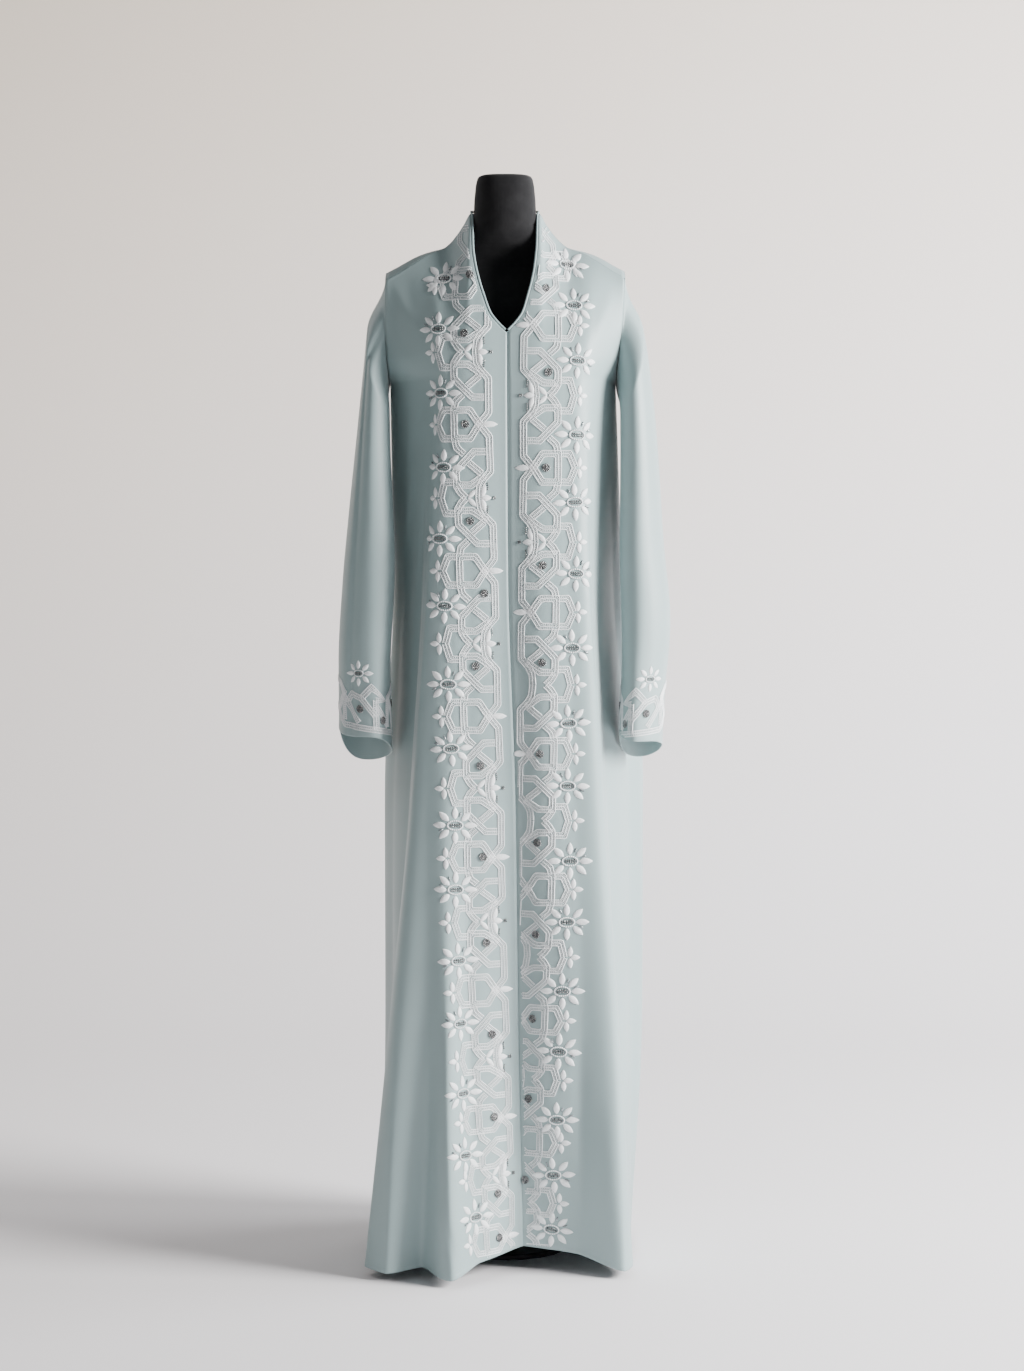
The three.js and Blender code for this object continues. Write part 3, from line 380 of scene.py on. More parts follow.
def hem_relief(above):
    """The turned hem stands out a little, and its row of stitches draws it in."""
    fold = 0.45 * ease((HEM_STITCH + 3 - above) / 3)
    stitch = -0.45 * np.exp(-(((above - HEM_STITCH) / 1.1) ** 2))
    return fold + stitch


def front_rows(side, per_fold=12):
    first, last = (0, SIDE_LEFT) if side == "left" else (len(FOLDS), SIDE_RIGHT)
    columns = fold_columns(first, last, per_fold)
    lower, above = skirt_rows(columns)
    share = run_of(lower[-1])
    share = share / share[-1]
    heights = np.concatenate([np.arange(1295, 1358, 4.5), np.arange(1358, 1538, 3.2), [1538]])
    upper = []
    for z in heights:
        line = cloth_line(side, z)
        upper.append(along(line, share * (run_of(line)[-1] - 0.2)))
    rows = np.concatenate([lower, np.array(upper)])
    above = np.concatenate([above, np.full((len(upper), rows.shape[1]), 500.0)])
    if side == "right":
        rows, above = rows[:, ::-1], above[:, ::-1]
    return rows, above


def edge_fade(rows):
    """Nothing at the side edges of a panel and one a little way in."""
    t = np.linspace(0, 1, rows.shape[1])
    return ease(t / EDGE_FADE) * ease((1 - t) / EDGE_FADE)


front = {}
for side in ("right", "left"):
    rows, above = front_rows(side)
    relief = crease_relief("front_" + side, rows) * edge_fade(rows) + hem_relief(above)
    front[side] = rows + outward(rows) * relief[..., None]
    print("front", side, "grid", front[side].shape[:2])

# %% The back panel
NAPE_RISE, NAPE_Y, NAPE_SHARE, CREST_Y, ARM_BULGE = 6, 51, 0.3, 8, 62


def back_riser(base, share):
    """The line of the back from the chest up over the shoulder to its seam."""
    across = abs(1 - 2 * share)
    side = "left" if share < 0.5 else "right"
    sign = SIGN[side]
    bend = min(1, across / NAPE_SHARE) * math.pi / 2
    beyond = np.clip((across - NAPE_SHARE) / (1 - NAPE_SHARE), 0, 1)
    top = mix(NECK_BASE_X * math.sin(bend), float(arm_x[side](SHOULDER_TIP)), beyond)
    ridge = float(ridge_at(top)) + NAPE_RISE * math.cos(bend)
    crest_y = max(NAPE_Y * math.cos(bend), CREST_Y * float(ease((top - NECK_BASE_X) / 30)))
    t = np.sin(np.linspace(0, 1, 61) * math.pi / 2)
    z = mix(CHEST, ridge, t)
    bulge = arm_open(z) / arm_open(SHOULDER_TIP) * ARM_BULGE * across**6
    x = mix(abs(base[0]), top + sign * float(lean_at(top)), ease(t * 1.15))
    line = np.stack([sign * x, mix(crest_y, base[1] + bulge, 1 - t**2.2), z], -1)
    if top <= NECK_BASE_X + 4:
        return line
    s = np.linspace(0, 1, 13)[1:]
    fall = (float(seam_drop(top)) - 0.16) * s**1.7
    roll_y = mix(crest_y, float(seam_y(top)) + 0.32, s)
    roll = np.stack([np.full(12, line[-1, 0]), roll_y, ridge - fall], -1)
    return np.concatenate([line, roll])


back_columns = fold_columns(SIDE_LEFT, SIDE_RIGHT, 13)
lower, above = skirt_rows(back_columns)
turned = column_turn(back_columns, np.full(len(back_columns), float(CHEST)))
shares = (turned - turned[0]) / (turned[-1] - turned[0])
risers = [back_riser(base, share) for base, share in zip(lower[-1], shares)]
steps = np.concatenate([np.linspace(0.015, 0.9, 50), np.linspace(0.91, 1, 14)])
upper = np.stack([along(line, steps * run_of(line)[-1]) for line in risers], 1)
rows = np.concatenate([lower, upper])
relief = crease_relief("back", rows) * edge_fade(rows)
relief *= ease((1440 - rows[..., 2]) / 90)
relief[: len(above)] += hem_relief(above)
back = rows + outward(rows) * relief[..., None]
print("back grid", back.shape[:2])

# %% [markdown]
# ## Long sleeves
# Each sleeve hangs straight down from its armhole. Its section at every height has an
# outer and an inner edge, a front and a back, and three long folds run down it.

# %% Tables and grids of the sleeves
SLEEVES = {
    "right": {
        "z": [740, 885, 1003, 1092, 1210, 1317, 1386, 1423, 1456],
        "outer": [246, 247, 241, 233, 221, 210, 203, 195, 186],
        "inner": [168, 171, 174, 178, 184, 186, 184, 180, 176],
        "front": [-100, -100, -96, -94, -88, -78, -70, -58, -40],
        "back": [8, 12, 25, 38, 52, 60, 60, 52, 30],
    },
    "left": {
        "z": [740, 841, 944, 1062, 1210, 1317, 1386, 1415, 1456],
        "outer": [226, 231, 239, 229, 220, 209, 197, 189, 180],
        "inner": [163, 166, 170, 172, 174, 174, 174, 173, 171],
        "front": [-108, -108, -106, -102, -92, -78, -70, -58, -40],
        "back": [-8, -6, 4, 20, 45, 58, 60, 52, 30],
    },
}
# Each fold: turn from the outer edge at the cap and at the cuff, how far it stands out
# at each, and its width in degrees.
SLEEVE_FOLDS = {
    "right": [(122, 118, 5, 5, 24), (76, 66, -5, -6, 9), (250, 262, 3, 6, 30)],
    "left": [(120, 116, 5, 5, 24), (66, 60, -2, -3, 20), (255, 250, 3, 6, 30)],
}
# The front of a sleeve slants back to its outer edge, and its inner fold laps over the body.
SLEEVE_SLANT = 9
SLEEVE_LAP = {"right": 18, "left": 13}
# Height of the cuff's edge at the outer, front, inner and back points.
CUFFS = {"right": (790, 778, 757, 736), "left": (762, 772, 782, 742)}
# From this share of its length a sleeve turns in to the armhole.
SLEEVE_JOIN = 0.89
SLEEVE_SQUARE = 0.85  # under 1 makes the section a little squarer than an ellipse
FOLD_FOOT, FOLD_SPAN = 780, 620  # the folds change from this height up, over this span
LAP_TURN, LAP_WIDE = 145, 26  # where round the sleeve the lap is, and its width
sleeve_curves = {
    side: {k: curve(size["z"], size[k]) for k in ("outer", "inner", "front", "back")}
    for side, size in SLEEVES.items()
}


def arm_loop(side):
    """The armhole: up the front's edge, and down the back's."""
    front_edge = [cloth_line(side, z)[-1] for z in range(CHEST, 1440, 6)]
    riser = risers[0] if side == "left" else risers[-1]
    loop = np.concatenate([front_edge, riser[::-1]])
    loop[:, 0] += SIGN[side] * 0.6
    return loop


def sleeve_spot(side, turn, z):
    shape = {k: f(z) for k, f in sleeve_curves[side].items()}
    level = np.clip((z - FOLD_FOOT) / FOLD_SPAN, 0, 1)
    swell = 1.0
    for cap, cuff, out_cap, out_cuff, wide in SLEEVE_FOLDS[side]:
        away = (turn - mix(cuff, cap, level)) / wide
        swell = swell + mix(out_cuff, out_cap, level) / 60 * np.exp(-away * away)
    a = np.radians(turn)
    flat = lambda v: np.sign(v) * np.abs(v) ** SLEEVE_SQUARE
    middle, half = (shape["outer"] + shape["inner"]) / 2, (shape["outer"] - shape["inner"]) / 2
    lap = SLEEVE_LAP[side] * ease(level * 2.2) * np.exp(-(((turn - LAP_TURN) / LAP_WIDE) ** 2))
    x = SIGN[side] * (middle + half * flat(np.cos(a)) - lap)
    centre, depth = (shape["front"] + shape["back"]) / 2, (shape["back"] - shape["front"]) / 2
    y = centre - depth * swell * flat(np.sin(a)) + SLEEVE_SLANT * flat(np.cos(a))
    return np.stack([x, y, z], -1)


def cuff_edge(side, turn):
    outer, forward, inner, rear = CUFFS[side]
    c, s = np.cos(np.radians(turn)), np.sin(np.radians(turn))
    return mix(mix(inner, outer, (1 + c) / 2), np.where(s > 0, forward, rear), np.abs(s))


def sleeve_rows(side, columns=72, count=120):
    loop = arm_loop(side)
    total = run_of(loop)[-1]
    turn = np.linspace(0, 360, columns + 1)
    top = along(loop, (total / 2 - total * turn / 360) % total)
    edge = cuff_edge(side, turn)
    t = 1 - (1 - np.linspace(0, 1, count + 1)) ** 1.25
    t = np.concatenate([[0, 0.002, 0.004, 0.007, 0.01], t[2:]])[:, None]
    z = mix(edge[None, :], top[None, :, 2], t)
    hang = sleeve_spot(side, np.broadcast_to(turn, z.shape), z)
    near = ease((t - SLEEVE_JOIN) / (1 - SLEEVE_JOIN))
    x, y = (mix(hang[..., k], top[None, :, k], near) for k in (0, 1))
    rows = np.stack([x, y, z], -1)
    if side == "left":
        rows = rows[:, ::-1]
    relief = hem_relief(rows[..., 2] - rows[:1, :, 2])
    return rows + outward(rows) * relief[..., None]


sleeves = {side: sleeve_rows(side) for side in ("right", "left")}
print("sleeve grid", sleeves["right"].shape[:2])

# %% [markdown]
# ## From grids to cloth
# A grid mesh is made by the grid operator and each of its corners is put in place. The
# Solidify modifier then gives the cloth its thickness on the inner side. A UV map holds
# the distance along the threads in metres, so the weave keeps its real size on every fold.

# %% Cloth shells
CLOTH = 1.4


def finish_mesh(bm, name):
    mesh = bpy.data.meshes.new(name)
    bm.to_mesh(mesh)
    bm.free()
    mesh.shade_smooth()
    return on_scene(name, mesh)


def laid_grid(rows):
    """A grid mesh with its corners at the rows' points, and which corner is which."""
    high, wide = rows.shape[0] - 1, rows.shape[1] - 1
    bm = bmesh.new()
    bmesh.ops.create_grid(bm, x_segments=wide, y_segments=high, size=0.5)
    spots = {v: (round((v.co.y + 0.5) * high), round((v.co.x + 0.5) * wide)) for v in bm.verts}
    for v, spot in spots.items():
        v.co = Vector(rows[spot]) * MM
    return bm, spots


def run_along(rows, axis):
    """Distance from the first row or column, along the cloth."""
    steps = np.cumsum(np.linalg.norm(np.diff(rows, axis=axis), axis=-1), axis)
    return np.concatenate([np.zeros_like(steps.take([0], axis)), steps], axis)


def cloth_shell(name, rows, closed=False):
    bm, spots = laid_grid(rows)
    across, upward = run_along(rows, 1), run_along(rows, 0)
    thread = bm.loops.layers.uv.new("thread")
    for face in bm.faces:
        for loop in face.loops:
            spot = spots[loop.vert]
            loop[thread].uv = (across[spot] * MM, upward[spot] * MM)
    if closed:
        bmesh.ops.remove_doubles(bm, verts=bm.verts, dist=1e-6)
    piece = finish_mesh(bm, name)
    wall = piece.modifiers.new("wall", "SOLIDIFY")
    wall.thickness, wall.offset, wall.use_even_offset = CLOTH * MM, -1, False
    return piece


def area_of(piece):
    return sum(face.area for face in piece.data.polygons)


# The left front runs on under the right one at the opening.
LAP, LAP_DROP = 16, 2.8
under = []
for row in front["left"]:
    z, edge = row[0, 2], row[0]
    if z > NECK_Z[0]:
        under.append([mix(edge, row[1], t) for t in (0, 0.1, 0.2)])
        continue
    lap = LAP * mix(1, 0.2, np.clip((z - 1340) / (NECK_Z[0] - 1340), 0, 1))
    beneath = along(cloth_line("right", z), np.array([lap, lap / 2]))
    lean = np.cross(edge - beneath[0], [0, 0, 1])
    lean = -lean / np.linalg.norm(lean)
    under.append([p + lean * LAP_DROP for p in (beneath[0], beneath[1], edge)])
left_grid = np.concatenate([np.array(under), front["left"][:, 1:]], 1)

front_right = cloth_shell("right_front", front["right"])
front_left = cloth_shell("left_front", left_grid)
back_panel = cloth_shell("back_panel", back)
sleeve_right = cloth_shell("right_sleeve", sleeves["right"], closed=True)
sleeve_left = cloth_shell("left_sleeve", sleeves["left"], closed=True)
for piece in (front_right, front_left, back_panel, sleeve_right, sleeve_left):
    print(piece.name, "area", round(area_of(piece), 3), "m2, faces", len(piece.data.polygons))

# %% [markdown]
# ## The piped neckline
# A thin roll of the same satin binds the neckline, from the foot of the V on one side,
# round the nape and down to the V again. It is a curve with a round section, made a mesh.

# %% Neck binding
BINDING_RADIUS, BINDING_AWAY, BINDING_IN = 1.7, 2.3, 0.9


def unit(v):
    return v / np.maximum(np.linalg.norm(v, axis=-1, keepdims=True), 1e-9)


def neck_edge(side):
    grid = front["left"] if side == "left" else front["right"][:, ::-1]
    grid = grid[grid[:, 0, 2] > NECK_Z[0] + 1]
    run = unit(np.gradient(grid[:, 0], axis=0))
    off = grid[:, 0] - grid[:, 2]
    off = unit(off - (off * run).sum(-1, keepdims=True) * run)
    inward = np.cross(run, off)
    inward *= np.sign(inward[:, 1:2])
    return grid[:, 0] + off * BINDING_AWAY + inward * BINDING_IN


def tube(name, lines, radius, sides):
    """Round cords along lines of points, as one mesh."""
    data = bpy.data.curves.new(name, "CURVE")
    data.dimensions, data.bevel_depth, data.bevel_resolution = "3D", radius * MM, sides
    data.use_fill_caps = True
    for line in lines:
        spline = data.splines.new("POLY")
        spline.points.add(len(line) - 1)
        spots = np.concatenate([line * MM, np.ones((len(line), 1))], 1)
        spline.points.foreach_set("co", spots.ravel())
    rough = on_scene(name + "_line", data)
    bpy.context.view_layer.update()
    mesh = bpy.data.meshes.new_from_object(rough.evaluated_get(bpy.context.evaluated_depsgraph_get()))
    bpy.data.objects.remove(rough)
    mesh.name = name
    mesh.shade_smooth()
    return on_scene(name, mesh)


nape = back[-1][back[-1][:, 2] > NECK_TOP - 1][::-1]
inward = unit(np.array([NECK_SHIFT, 0, 0]) - nape * [1, 1, 0])
nape = nape + inward * BINDING_IN + [0, 0, BINDING_AWAY]
path = np.concatenate([neck_edge("right"), nape, neck_edge("left")[::-1]])
neck_binding = tube("neckline_roll", [path], BINDING_RADIUS, 3)
print("binding length", round(float(run_of(path)[-1])), "mm")

# %% [markdown]
# ## A map of the cloth for the needle
# Embroidery lies on the cloth, so it needs to know where the cloth is. A table gives the
# point and the outward direction for a distance across the panel and a height.

# %% Cloth maps
class ClothMap:
    def __init__(self, a, z, points):
        self.a, self.z, self.points = a, z, points
        self.normals = outward(points)

    def at(self, a, z, lift=0.0):
        i = np.clip((np.asarray(a, float) - self.a[0]) / (self.a[1] - self.a[0]), 0, len(self.a) - 1.001)
        j = np.clip((np.asarray(z, float) - self.z[0]) / (self.z[1] - self.z[0]), 0, len(self.z) - 1.001)
        i0, j0 = i.astype(int), j.astype(int)
        u, v = (i - i0)[..., None], (j - j0)[..., None]
        look = lambda t: mix(mix(t[j0, i0], t[j0, i0 + 1], u), mix(t[j0 + 1, i0], t[j0 + 1, i0 + 1], u), v)
        return look(self.points) + unit(look(self.normals)) * np.asarray(lift, float)[..., None]


def front_map(side):
    """Distances run from the centre front towards +X, so they are negative on the right."""
    s, z = np.arange(0, 190, 2.0), np.arange(12, 1542, 4.0)
    lines = [front_line(side, h) for h in z]
    points = np.stack([along(line, s) for line in lines])
    total = np.array([run_of(line)[-1] for line in lines])
    fade = ease(s[None, :] / (EDGE_FADE * total[:, None]))
    if side == "right":
        s, points, fade = -s[::-1], points[:, ::-1], fade[:, ::-1]
    relief = crease_relief("front_" + side, points) * fade
    return ClothMap(s, z, points + outward(points) * relief[..., None])


def sleeve_map(side):
    """Distances run from the middle of the sleeve's front towards +X."""
    turn, z = np.arange(-40, 221, 2.0), np.arange(730, 960, 4.0)
    a, facing = np.arange(-96, 97, 2.0), np.searchsorted(turn, 90)
    rows = []
    for h in z:
        line = sleeve_spot(side, turn, np.full(len(turn), h))
        run = run_of(line) - run_of(line)[facing]
        if side == "left":
            line, run = line[::-1], -run[::-1]
        rows.append(np.stack([np.interp(a, run, line[:, k]) for k in range(3)], -1))
    return ClothMap(a, z, np.array(rows))


maps = {"front_" + side: front_map(side) for side in ("right", "left")}
maps.update({"cuff_" + side: sleeve_map(side) for side in ("right", "left")})
print("maps:", {name: m.points.shape[:2] for name, m in maps.items()})


EDGE_ROOM, NECK_ROOM, OPENING_ROOM = 3, 3.5, 4


def front_room(side, a, z):
    """Above zero where the needle can reach: inside the hem, the neckline and the seam."""
    p = maps["front_" + side].at(a, z)
    hem = p[..., 2] - hem_at(np.degrees(np.arctan2(p[..., 0], -p[..., 1]))) - EDGE_ROOM
    x = np.abs(p[..., 0])
    sign = SIGN[side]
    neck = np.where(z > NECK_Z[0], x - (neck_x(z) + sign * lean_up(z)) - NECK_ROOM, 50)
    seam = seam_z(x - sign * lean_at(x)) - z - EDGE_ROOM
    return np.minimum(np.minimum(hem, neck), np.minimum(seam, sign * a - OPENING_ROOM))


def cuff_room(side, a, z):
    p = maps["cuff_" + side].at(a, z)
    size = sleeve_curves[side]
    middle = (size["outer"](z) + size["inner"](z)) / 2
    half = (size["outer"](z) - size["inner"](z)) / 2
    c = np.clip((np.abs(p[..., 0]) - middle) / half, -1, 1)
    turn = np.degrees(np.arccos(np.sign(c) * np.abs(c) ** (1 / SLEEVE_SQUARE)))
    return p[..., 2] - cuff_edge(side, turn) - EDGE_ROOM


# %% [markdown]
# ## Strapwork
# The bands are an old geometric interlace. Each strap is three stitched cords with a row of
# small stitches on either side of the middle one. A link of the chart runs from a height
# where a leaf points to the opening to one where a crown stands, and then it is mirrored.

# %% Chart of one link
LINK, ACROSS = 110, 0.93
STRAPS = [
    [(21, -2), (36, 21.5), (60.5, 21.5), (60.5, 0)],
    [(64, 21.5), (78, 21.5), (87, 0)],
    [(27, -8), (17.8, 5), (7, 18), (6.5, 70), (17, 81), (24, 92), (26, 110)],
    [(59.5, 25), (57.5, 35), (46, 45.5)],
    [(13, 41), (31.5, 41), (59.5, 69.5), (59.5, 91), (37.5, 91), (15, 75)],
    [(20, 74), (39, 58)],
    [(60, 92), (54, 102), (46, 110)],
    [(63, 86.5), (78, 86.5), (85, 110)],
]
# Leaf and crown heights in turn down each band, the first a leaf where FIRST_LEAF says so,
# and how far the band's inner edge lies from the centre front at a few heights.
STOPS = {
    "right": [1535, 1431, 1330, 1227, 1122, 1018, 914, 810, 707, 607, 515, 415, 317, 229, 146, 55, -30],
    "left": [1550, 1459, 1369, 1268, 1165, 1059, 959, 855, 756, 660, 561, 463, 371, 284, 192, 102, 20, -60],
}
FIRST_LEAF = {"right": False, "left": True}
INNER_EDGE = {
    "right": curve([60, 200, 374, 562, 774, 994, 1188, 1358, 1541], [12, 11, 13, 16, 15, 13, 19, 21, 21]),
    "left": curve([54, 226, 326, 414, 514, 708, 798, 904, 1120, 1350, 1541],
                  [-35, -25, -18, -13, -6, 0, 4, 10, 16, 18, 19]),
}


def spread(line, step):
    """Points at an even step along a line of corners."""
    line = np.array(line, float)
    run = run_of(line)
    count = max(2, int(round(run[-1] / step)) + 1)
    at = np.linspace(0, run[-1], count)
    return np.stack([np.interp(at, run, line[:, k]) for k in range(line.shape[1])], -1)


def beside(line, gap):
    """The line moved sideways by a gap, mitred at its corners."""
    line = np.array(line, float)
    ahead = unit(np.diff(line, axis=0))
    side = np.stack([-ahead[:, 1], ahead[:, 0]], -1)
    both = np.concatenate([side[:1] * 2, side[:-1] + side[1:], side[-1:] * 2])
    return line + gap * 2 * both / np.maximum((both * both).sum(-1, keepdims=True), 1.2)


def clipped(flat, room):
    """The stretches of a line where there is room for it."""
    runs, current = [], []
    for spot, fits in zip(flat, room > 0):
        if fits:
            current.append(spot)
        elif current:
            runs.append(np.array(current))
            current = []
    if current:
        runs.append(np.array(current))
    return [run for run in runs if len(run) > 2]


def placed(side, u, z):
    """From the chart's own measure across the band to the distance on the cloth."""
    return SIGN[side] * (INNER_EDGE[side](z) + ACROSS * np.asarray(u, float))


def chart_lines(side, gap, step):
    """The straps' lines, laid between the stops, as (a, z) runs on the cloth."""
    found, stops = [], STOPS[side]
    for k in range(len(stops) - 1):
        leaf_first = (k % 2 == 0) == FIRST_LEAF[side]
        for line in STRAPS:
            flat = spread(beside(line, gap), step)
            share = flat[:, 1] / LINK
            z = mix(stops[k], stops[k + 1], share if leaf_first else 1 - share)
            a = placed(side, flat[:, 0], z)
            found += clipped(np.stack([a, z], -1), front_room(side, a, z))
    return found


print("straps in a link:", len(STRAPS))

# %% Cords and stitches on the fronts
STRAP_HALF, CORD_RADIUS, CORD_LIFT = 4.6, 0.8, 0.4
CORD_STEP, STITCH_STEP = 4, 2.9


def laid_line(cloth, flat, lift):
    return maps[cloth].at(flat[:, 0], flat[:, 1], np.full(len(flat), lift))


def strewn(name, template, cloth, places):
    """Copies of a small piece laid on the cloth: each place is (a, z, turn, scale)."""
    spots = np.array([v.co for v in template.data.vertices])
    faces = [tuple(face.vertices) for face in template.data.polygons]
    places = np.array(places, float)
    c, s = np.cos(places[:, 2]), np.sin(places[:, 2])
    grown = spots[None] * places[:, 3, None, None]
    a = places[:, 0, None] + c[:, None] * grown[..., 0] - s[:, None] * grown[..., 1]
    z = places[:, 1, None] + s[:, None] * grown[..., 0] + c[:, None] * grown[..., 1]
    laid = maps[cloth].at(a, z, grown[..., 2]) * MM
    count = len(spots)
    mesh = bpy.data.meshes.new(name)
    all_faces = [tuple(i + k * count for i in face) for k in range(len(places)) for face in faces]
    mesh.from_pydata(laid.reshape(-1, 3).tolist(), [], all_faces)
    mesh.shade_smooth()
    return on_scene(name, mesh)


def template(make):
    """A small piece made with the bmesh operators, kept off the scene."""
    bm = bmesh.new()
    make(bm)
    mesh = bpy.data.meshes.new("template")
    bm.to_mesh(mesh)
    bm.free()
    return bpy.data.objects.new("template", mesh)


def make_stitch(bm):
    bmesh.ops.create_cone(bm, cap_ends=True, segments=4, radius1=0.75, radius2=0.4, depth=0.7)
    bmesh.ops.rotate(bm, verts=bm.verts, matrix=Matrix.Rotation(math.pi / 4, 3, "Z"))
    bmesh.ops.scale(bm, verts=bm.verts, vec=(1.75, 1.35, 1.1))
    bmesh.ops.translate(bm, verts=bm.verts, vec=(0, 0, 0.4))


stitch = template(make_stitch)


def stitch_places(lines):
    places = []
    for line in lines:
        middle = (line[1:] + line[:-1]) / 2
        ahead = np.diff(line, axis=0)
        places += [(p[0], p[1], math.atan2(d[1], d[0]), 1) for p, d in zip(middle, ahead)]
    return places


embroidery = []
for side in ("right", "left"):
    cloth = "front_" + side
    lines = [flat for gap in (-STRAP_HALF, 0, STRAP_HALF) for flat in chart_lines(side, gap, CORD_STEP)]
    embroidery.append(tube("cords_" + side, [laid_line(cloth, f, CORD_LIFT) for f in lines], CORD_RADIUS, 0))
    gaps = (-STRAP_HALF / 2, STRAP_HALF / 2)
    places = stitch_places([f for gap in gaps for f in chart_lines(side, gap, STITCH_STEP)])
    embroidery.append(strewn("stitches_" + side, stitch, cloth, places))
    print(side, "cords", len(lines), "stitches", len(places))

# %% [markdown]
# ## Padded flowers, leaves and crowns
# The flowers are satin stitch over padding. Each petal is a pointed pad, crowned along its
# middle. Eight of them stand round an oval heart of beads.

# %% Petal shapes
PETAL_SHAPE = curve([0, 0.08, 0.22, 0.45, 0.7, 0.88, 1], [0.06, 0.42, 0.8, 1, 0.78, 0.38, 0.02])


def make_petal(bm, start, tip, half, pad):
    """A pointed pad from one point of the flower to another."""
    pad_verts = bmesh.ops.create_uvsphere(bm, u_segments=12, v_segments=9, radius=1)["verts"]
    start, tip = np.array(start, float), np.array(tip, float)
    ahead = tip - start
    aside = np.array([-ahead[1], ahead[0]]) / np.linalg.norm(ahead)
    for v in pad_verts:
        t = (v.co.z + 1) / 2
        round_ = math.hypot(v.co.x, v.co.y)
        x, y = (v.co.x / round_, v.co.y / round_) if round_ > 1e-6 else (0, 0)
        size = float(PETAL_SHAPE(t))
        flat = start + ahead * t + aside * half * size * x
        rise = pad * (0.3 + 0.7 * size) if y > 0 else 0.5
        v.co = (flat[0], flat[1], 0.1 + y * rise * min(1, round_ * 2))


def make_flower(bm):
    for k in range(8):
        c, s = math.cos(math.pi * k / 4), math.sin(math.pi * k / 4)
        make_petal(bm, (13 * c, 9 * s), (33 * c, 27 * s), 4.7, 1.7)


def make_spray(bm):
    for turn, length in ((0, 15), (86, 16), (-86, 16)):
        c, s = math.cos(math.radians(turn)), math.sin(math.radians(turn))
        make_petal(bm, (c, s), (length * c, length * s), 4, 1.5)


def make_leaf(bm):
    make_petal(bm, (-11, 0), (11, 0), 4.6, 1.6)


def make_crown(bm):
    make_petal(bm, (-6, 0), (10, 0), 4.5, 1.6)
    make_petal(bm, (-4, 1), (1, 20), 4, 1.5)
    make_petal(bm, (-4, -1), (1, -20), 4, 1.5)
    make_petal(bm, (-24, 0), (-11, 13), 3.6, 1.3)
    make_petal(bm, (-24, 0), (-11, -13), 3.6, 1.3)


def add_bead(bm, x, y, size, long=1.0, turn=0.0):
    new = bmesh.ops.create_icosphere(bm, subdivisions=2, radius=size)["verts"]
    bmesh.ops.scale(bm, verts=new, vec=(long, 1, 1))
    bmesh.ops.rotate(bm, verts=new, matrix=Matrix.Rotation(turn, 3, "Z"))
    bmesh.ops.translate(bm, verts=new, vec=(x, y, size * 0.8))


def make_heart_ring(bm):
    for k in range(22):
        a = 2 * math.pi * k / 22
        add_bead(bm, 11 * math.cos(a), 6.6 * math.sin(a), 1.15, 1.3, a + math.pi / 2)


def make_heart_beads(bm):
    for x in (-6.6, -3.3, 0, 3.3, 6.6):
        for y in (-1.6, 1.6):
            add_bead(bm, x, y, 1.35)


def make_cluster(bm):
    add_bead(bm, 0, 0, 1.4)
    for count, radius in ((6, 2.6), (12, 5)):
        for k in range(count):
            a = 2 * math.pi * k / count + count
            add_bead(bm, radius * math.cos(a), radius * math.sin(a), 1.3)


def make_crown_beads(bm):
    for r in (12.5, 15):
        for gap in (-1.3, 1.3):
            add_bead(bm, r, gap, 1.2)
    for y in (12, 15, 18, 21):
        add_bead(bm, 5.2 - y * 0.04, y, 1.15)
        add_bead(bm, 5.2 - y * 0.04, -y, 1.15)


def make_gem(bm):
    """A pointed cut stone with a flat table."""
    bmesh.ops.create_cone(bm, cap_ends=True, segments=8, radius1=1, radius2=0.45, depth=0.7)
    bmesh.ops.scale(bm, verts=bm.verts, vec=(4.2, 1.4, 1.6))
    bmesh.ops.translate(bm, verts=bm.verts, vec=(0, 0, 1.6))


shapes = {make.__name__[5:]: template(make) for make in
          (make_flower, make_spray, make_leaf, make_crown, make_heart_ring, make_heart_beads,
           make_cluster, make_crown_beads, make_gem)}
print("templates:", {name: len(t.data.polygons) for name, t in shapes.items()})

# %% Where the flowers are
FLOWERS = {
    "right": (
        [1440, 1364, 1272, 1166, 1064, 968, 856, 764, 654, 562, 460, 370, 270, 182, 92],
        [97, 100, 97, 92, 98, 92, 91, 91, 89, 91, 90, 91, 92, 96, 85],
    ),
    "left": (
        [1462, 1399, 1318, 1212, 1116, 1014, 908, 800, 710, 602, 514, 414, 326, 226, 144, 63],
        [95, 99, 102, 101, 97, 98, 90, 81, 77, 79, 74, 67, 61, 56, 48, 43],
    ),
}
# Bead hearts: distance across the chart and height.
HEARTS = {
    "right": [(35, 1444), (43, 1357), (43, 1227), (41, 1089), (23, 986), (39, 882), (37, 739), (36, 608),
              (34, 484), (31, 351), (34, 231), (34, 120), (35, 56)],
    "left": [(42, 1424), (45, 1301), (42, 1165), (39, 1026), (40, 887), (39, 756), (37, 628), (38, 495),
             (40, 372), (39, 254), (38, 134)],
}
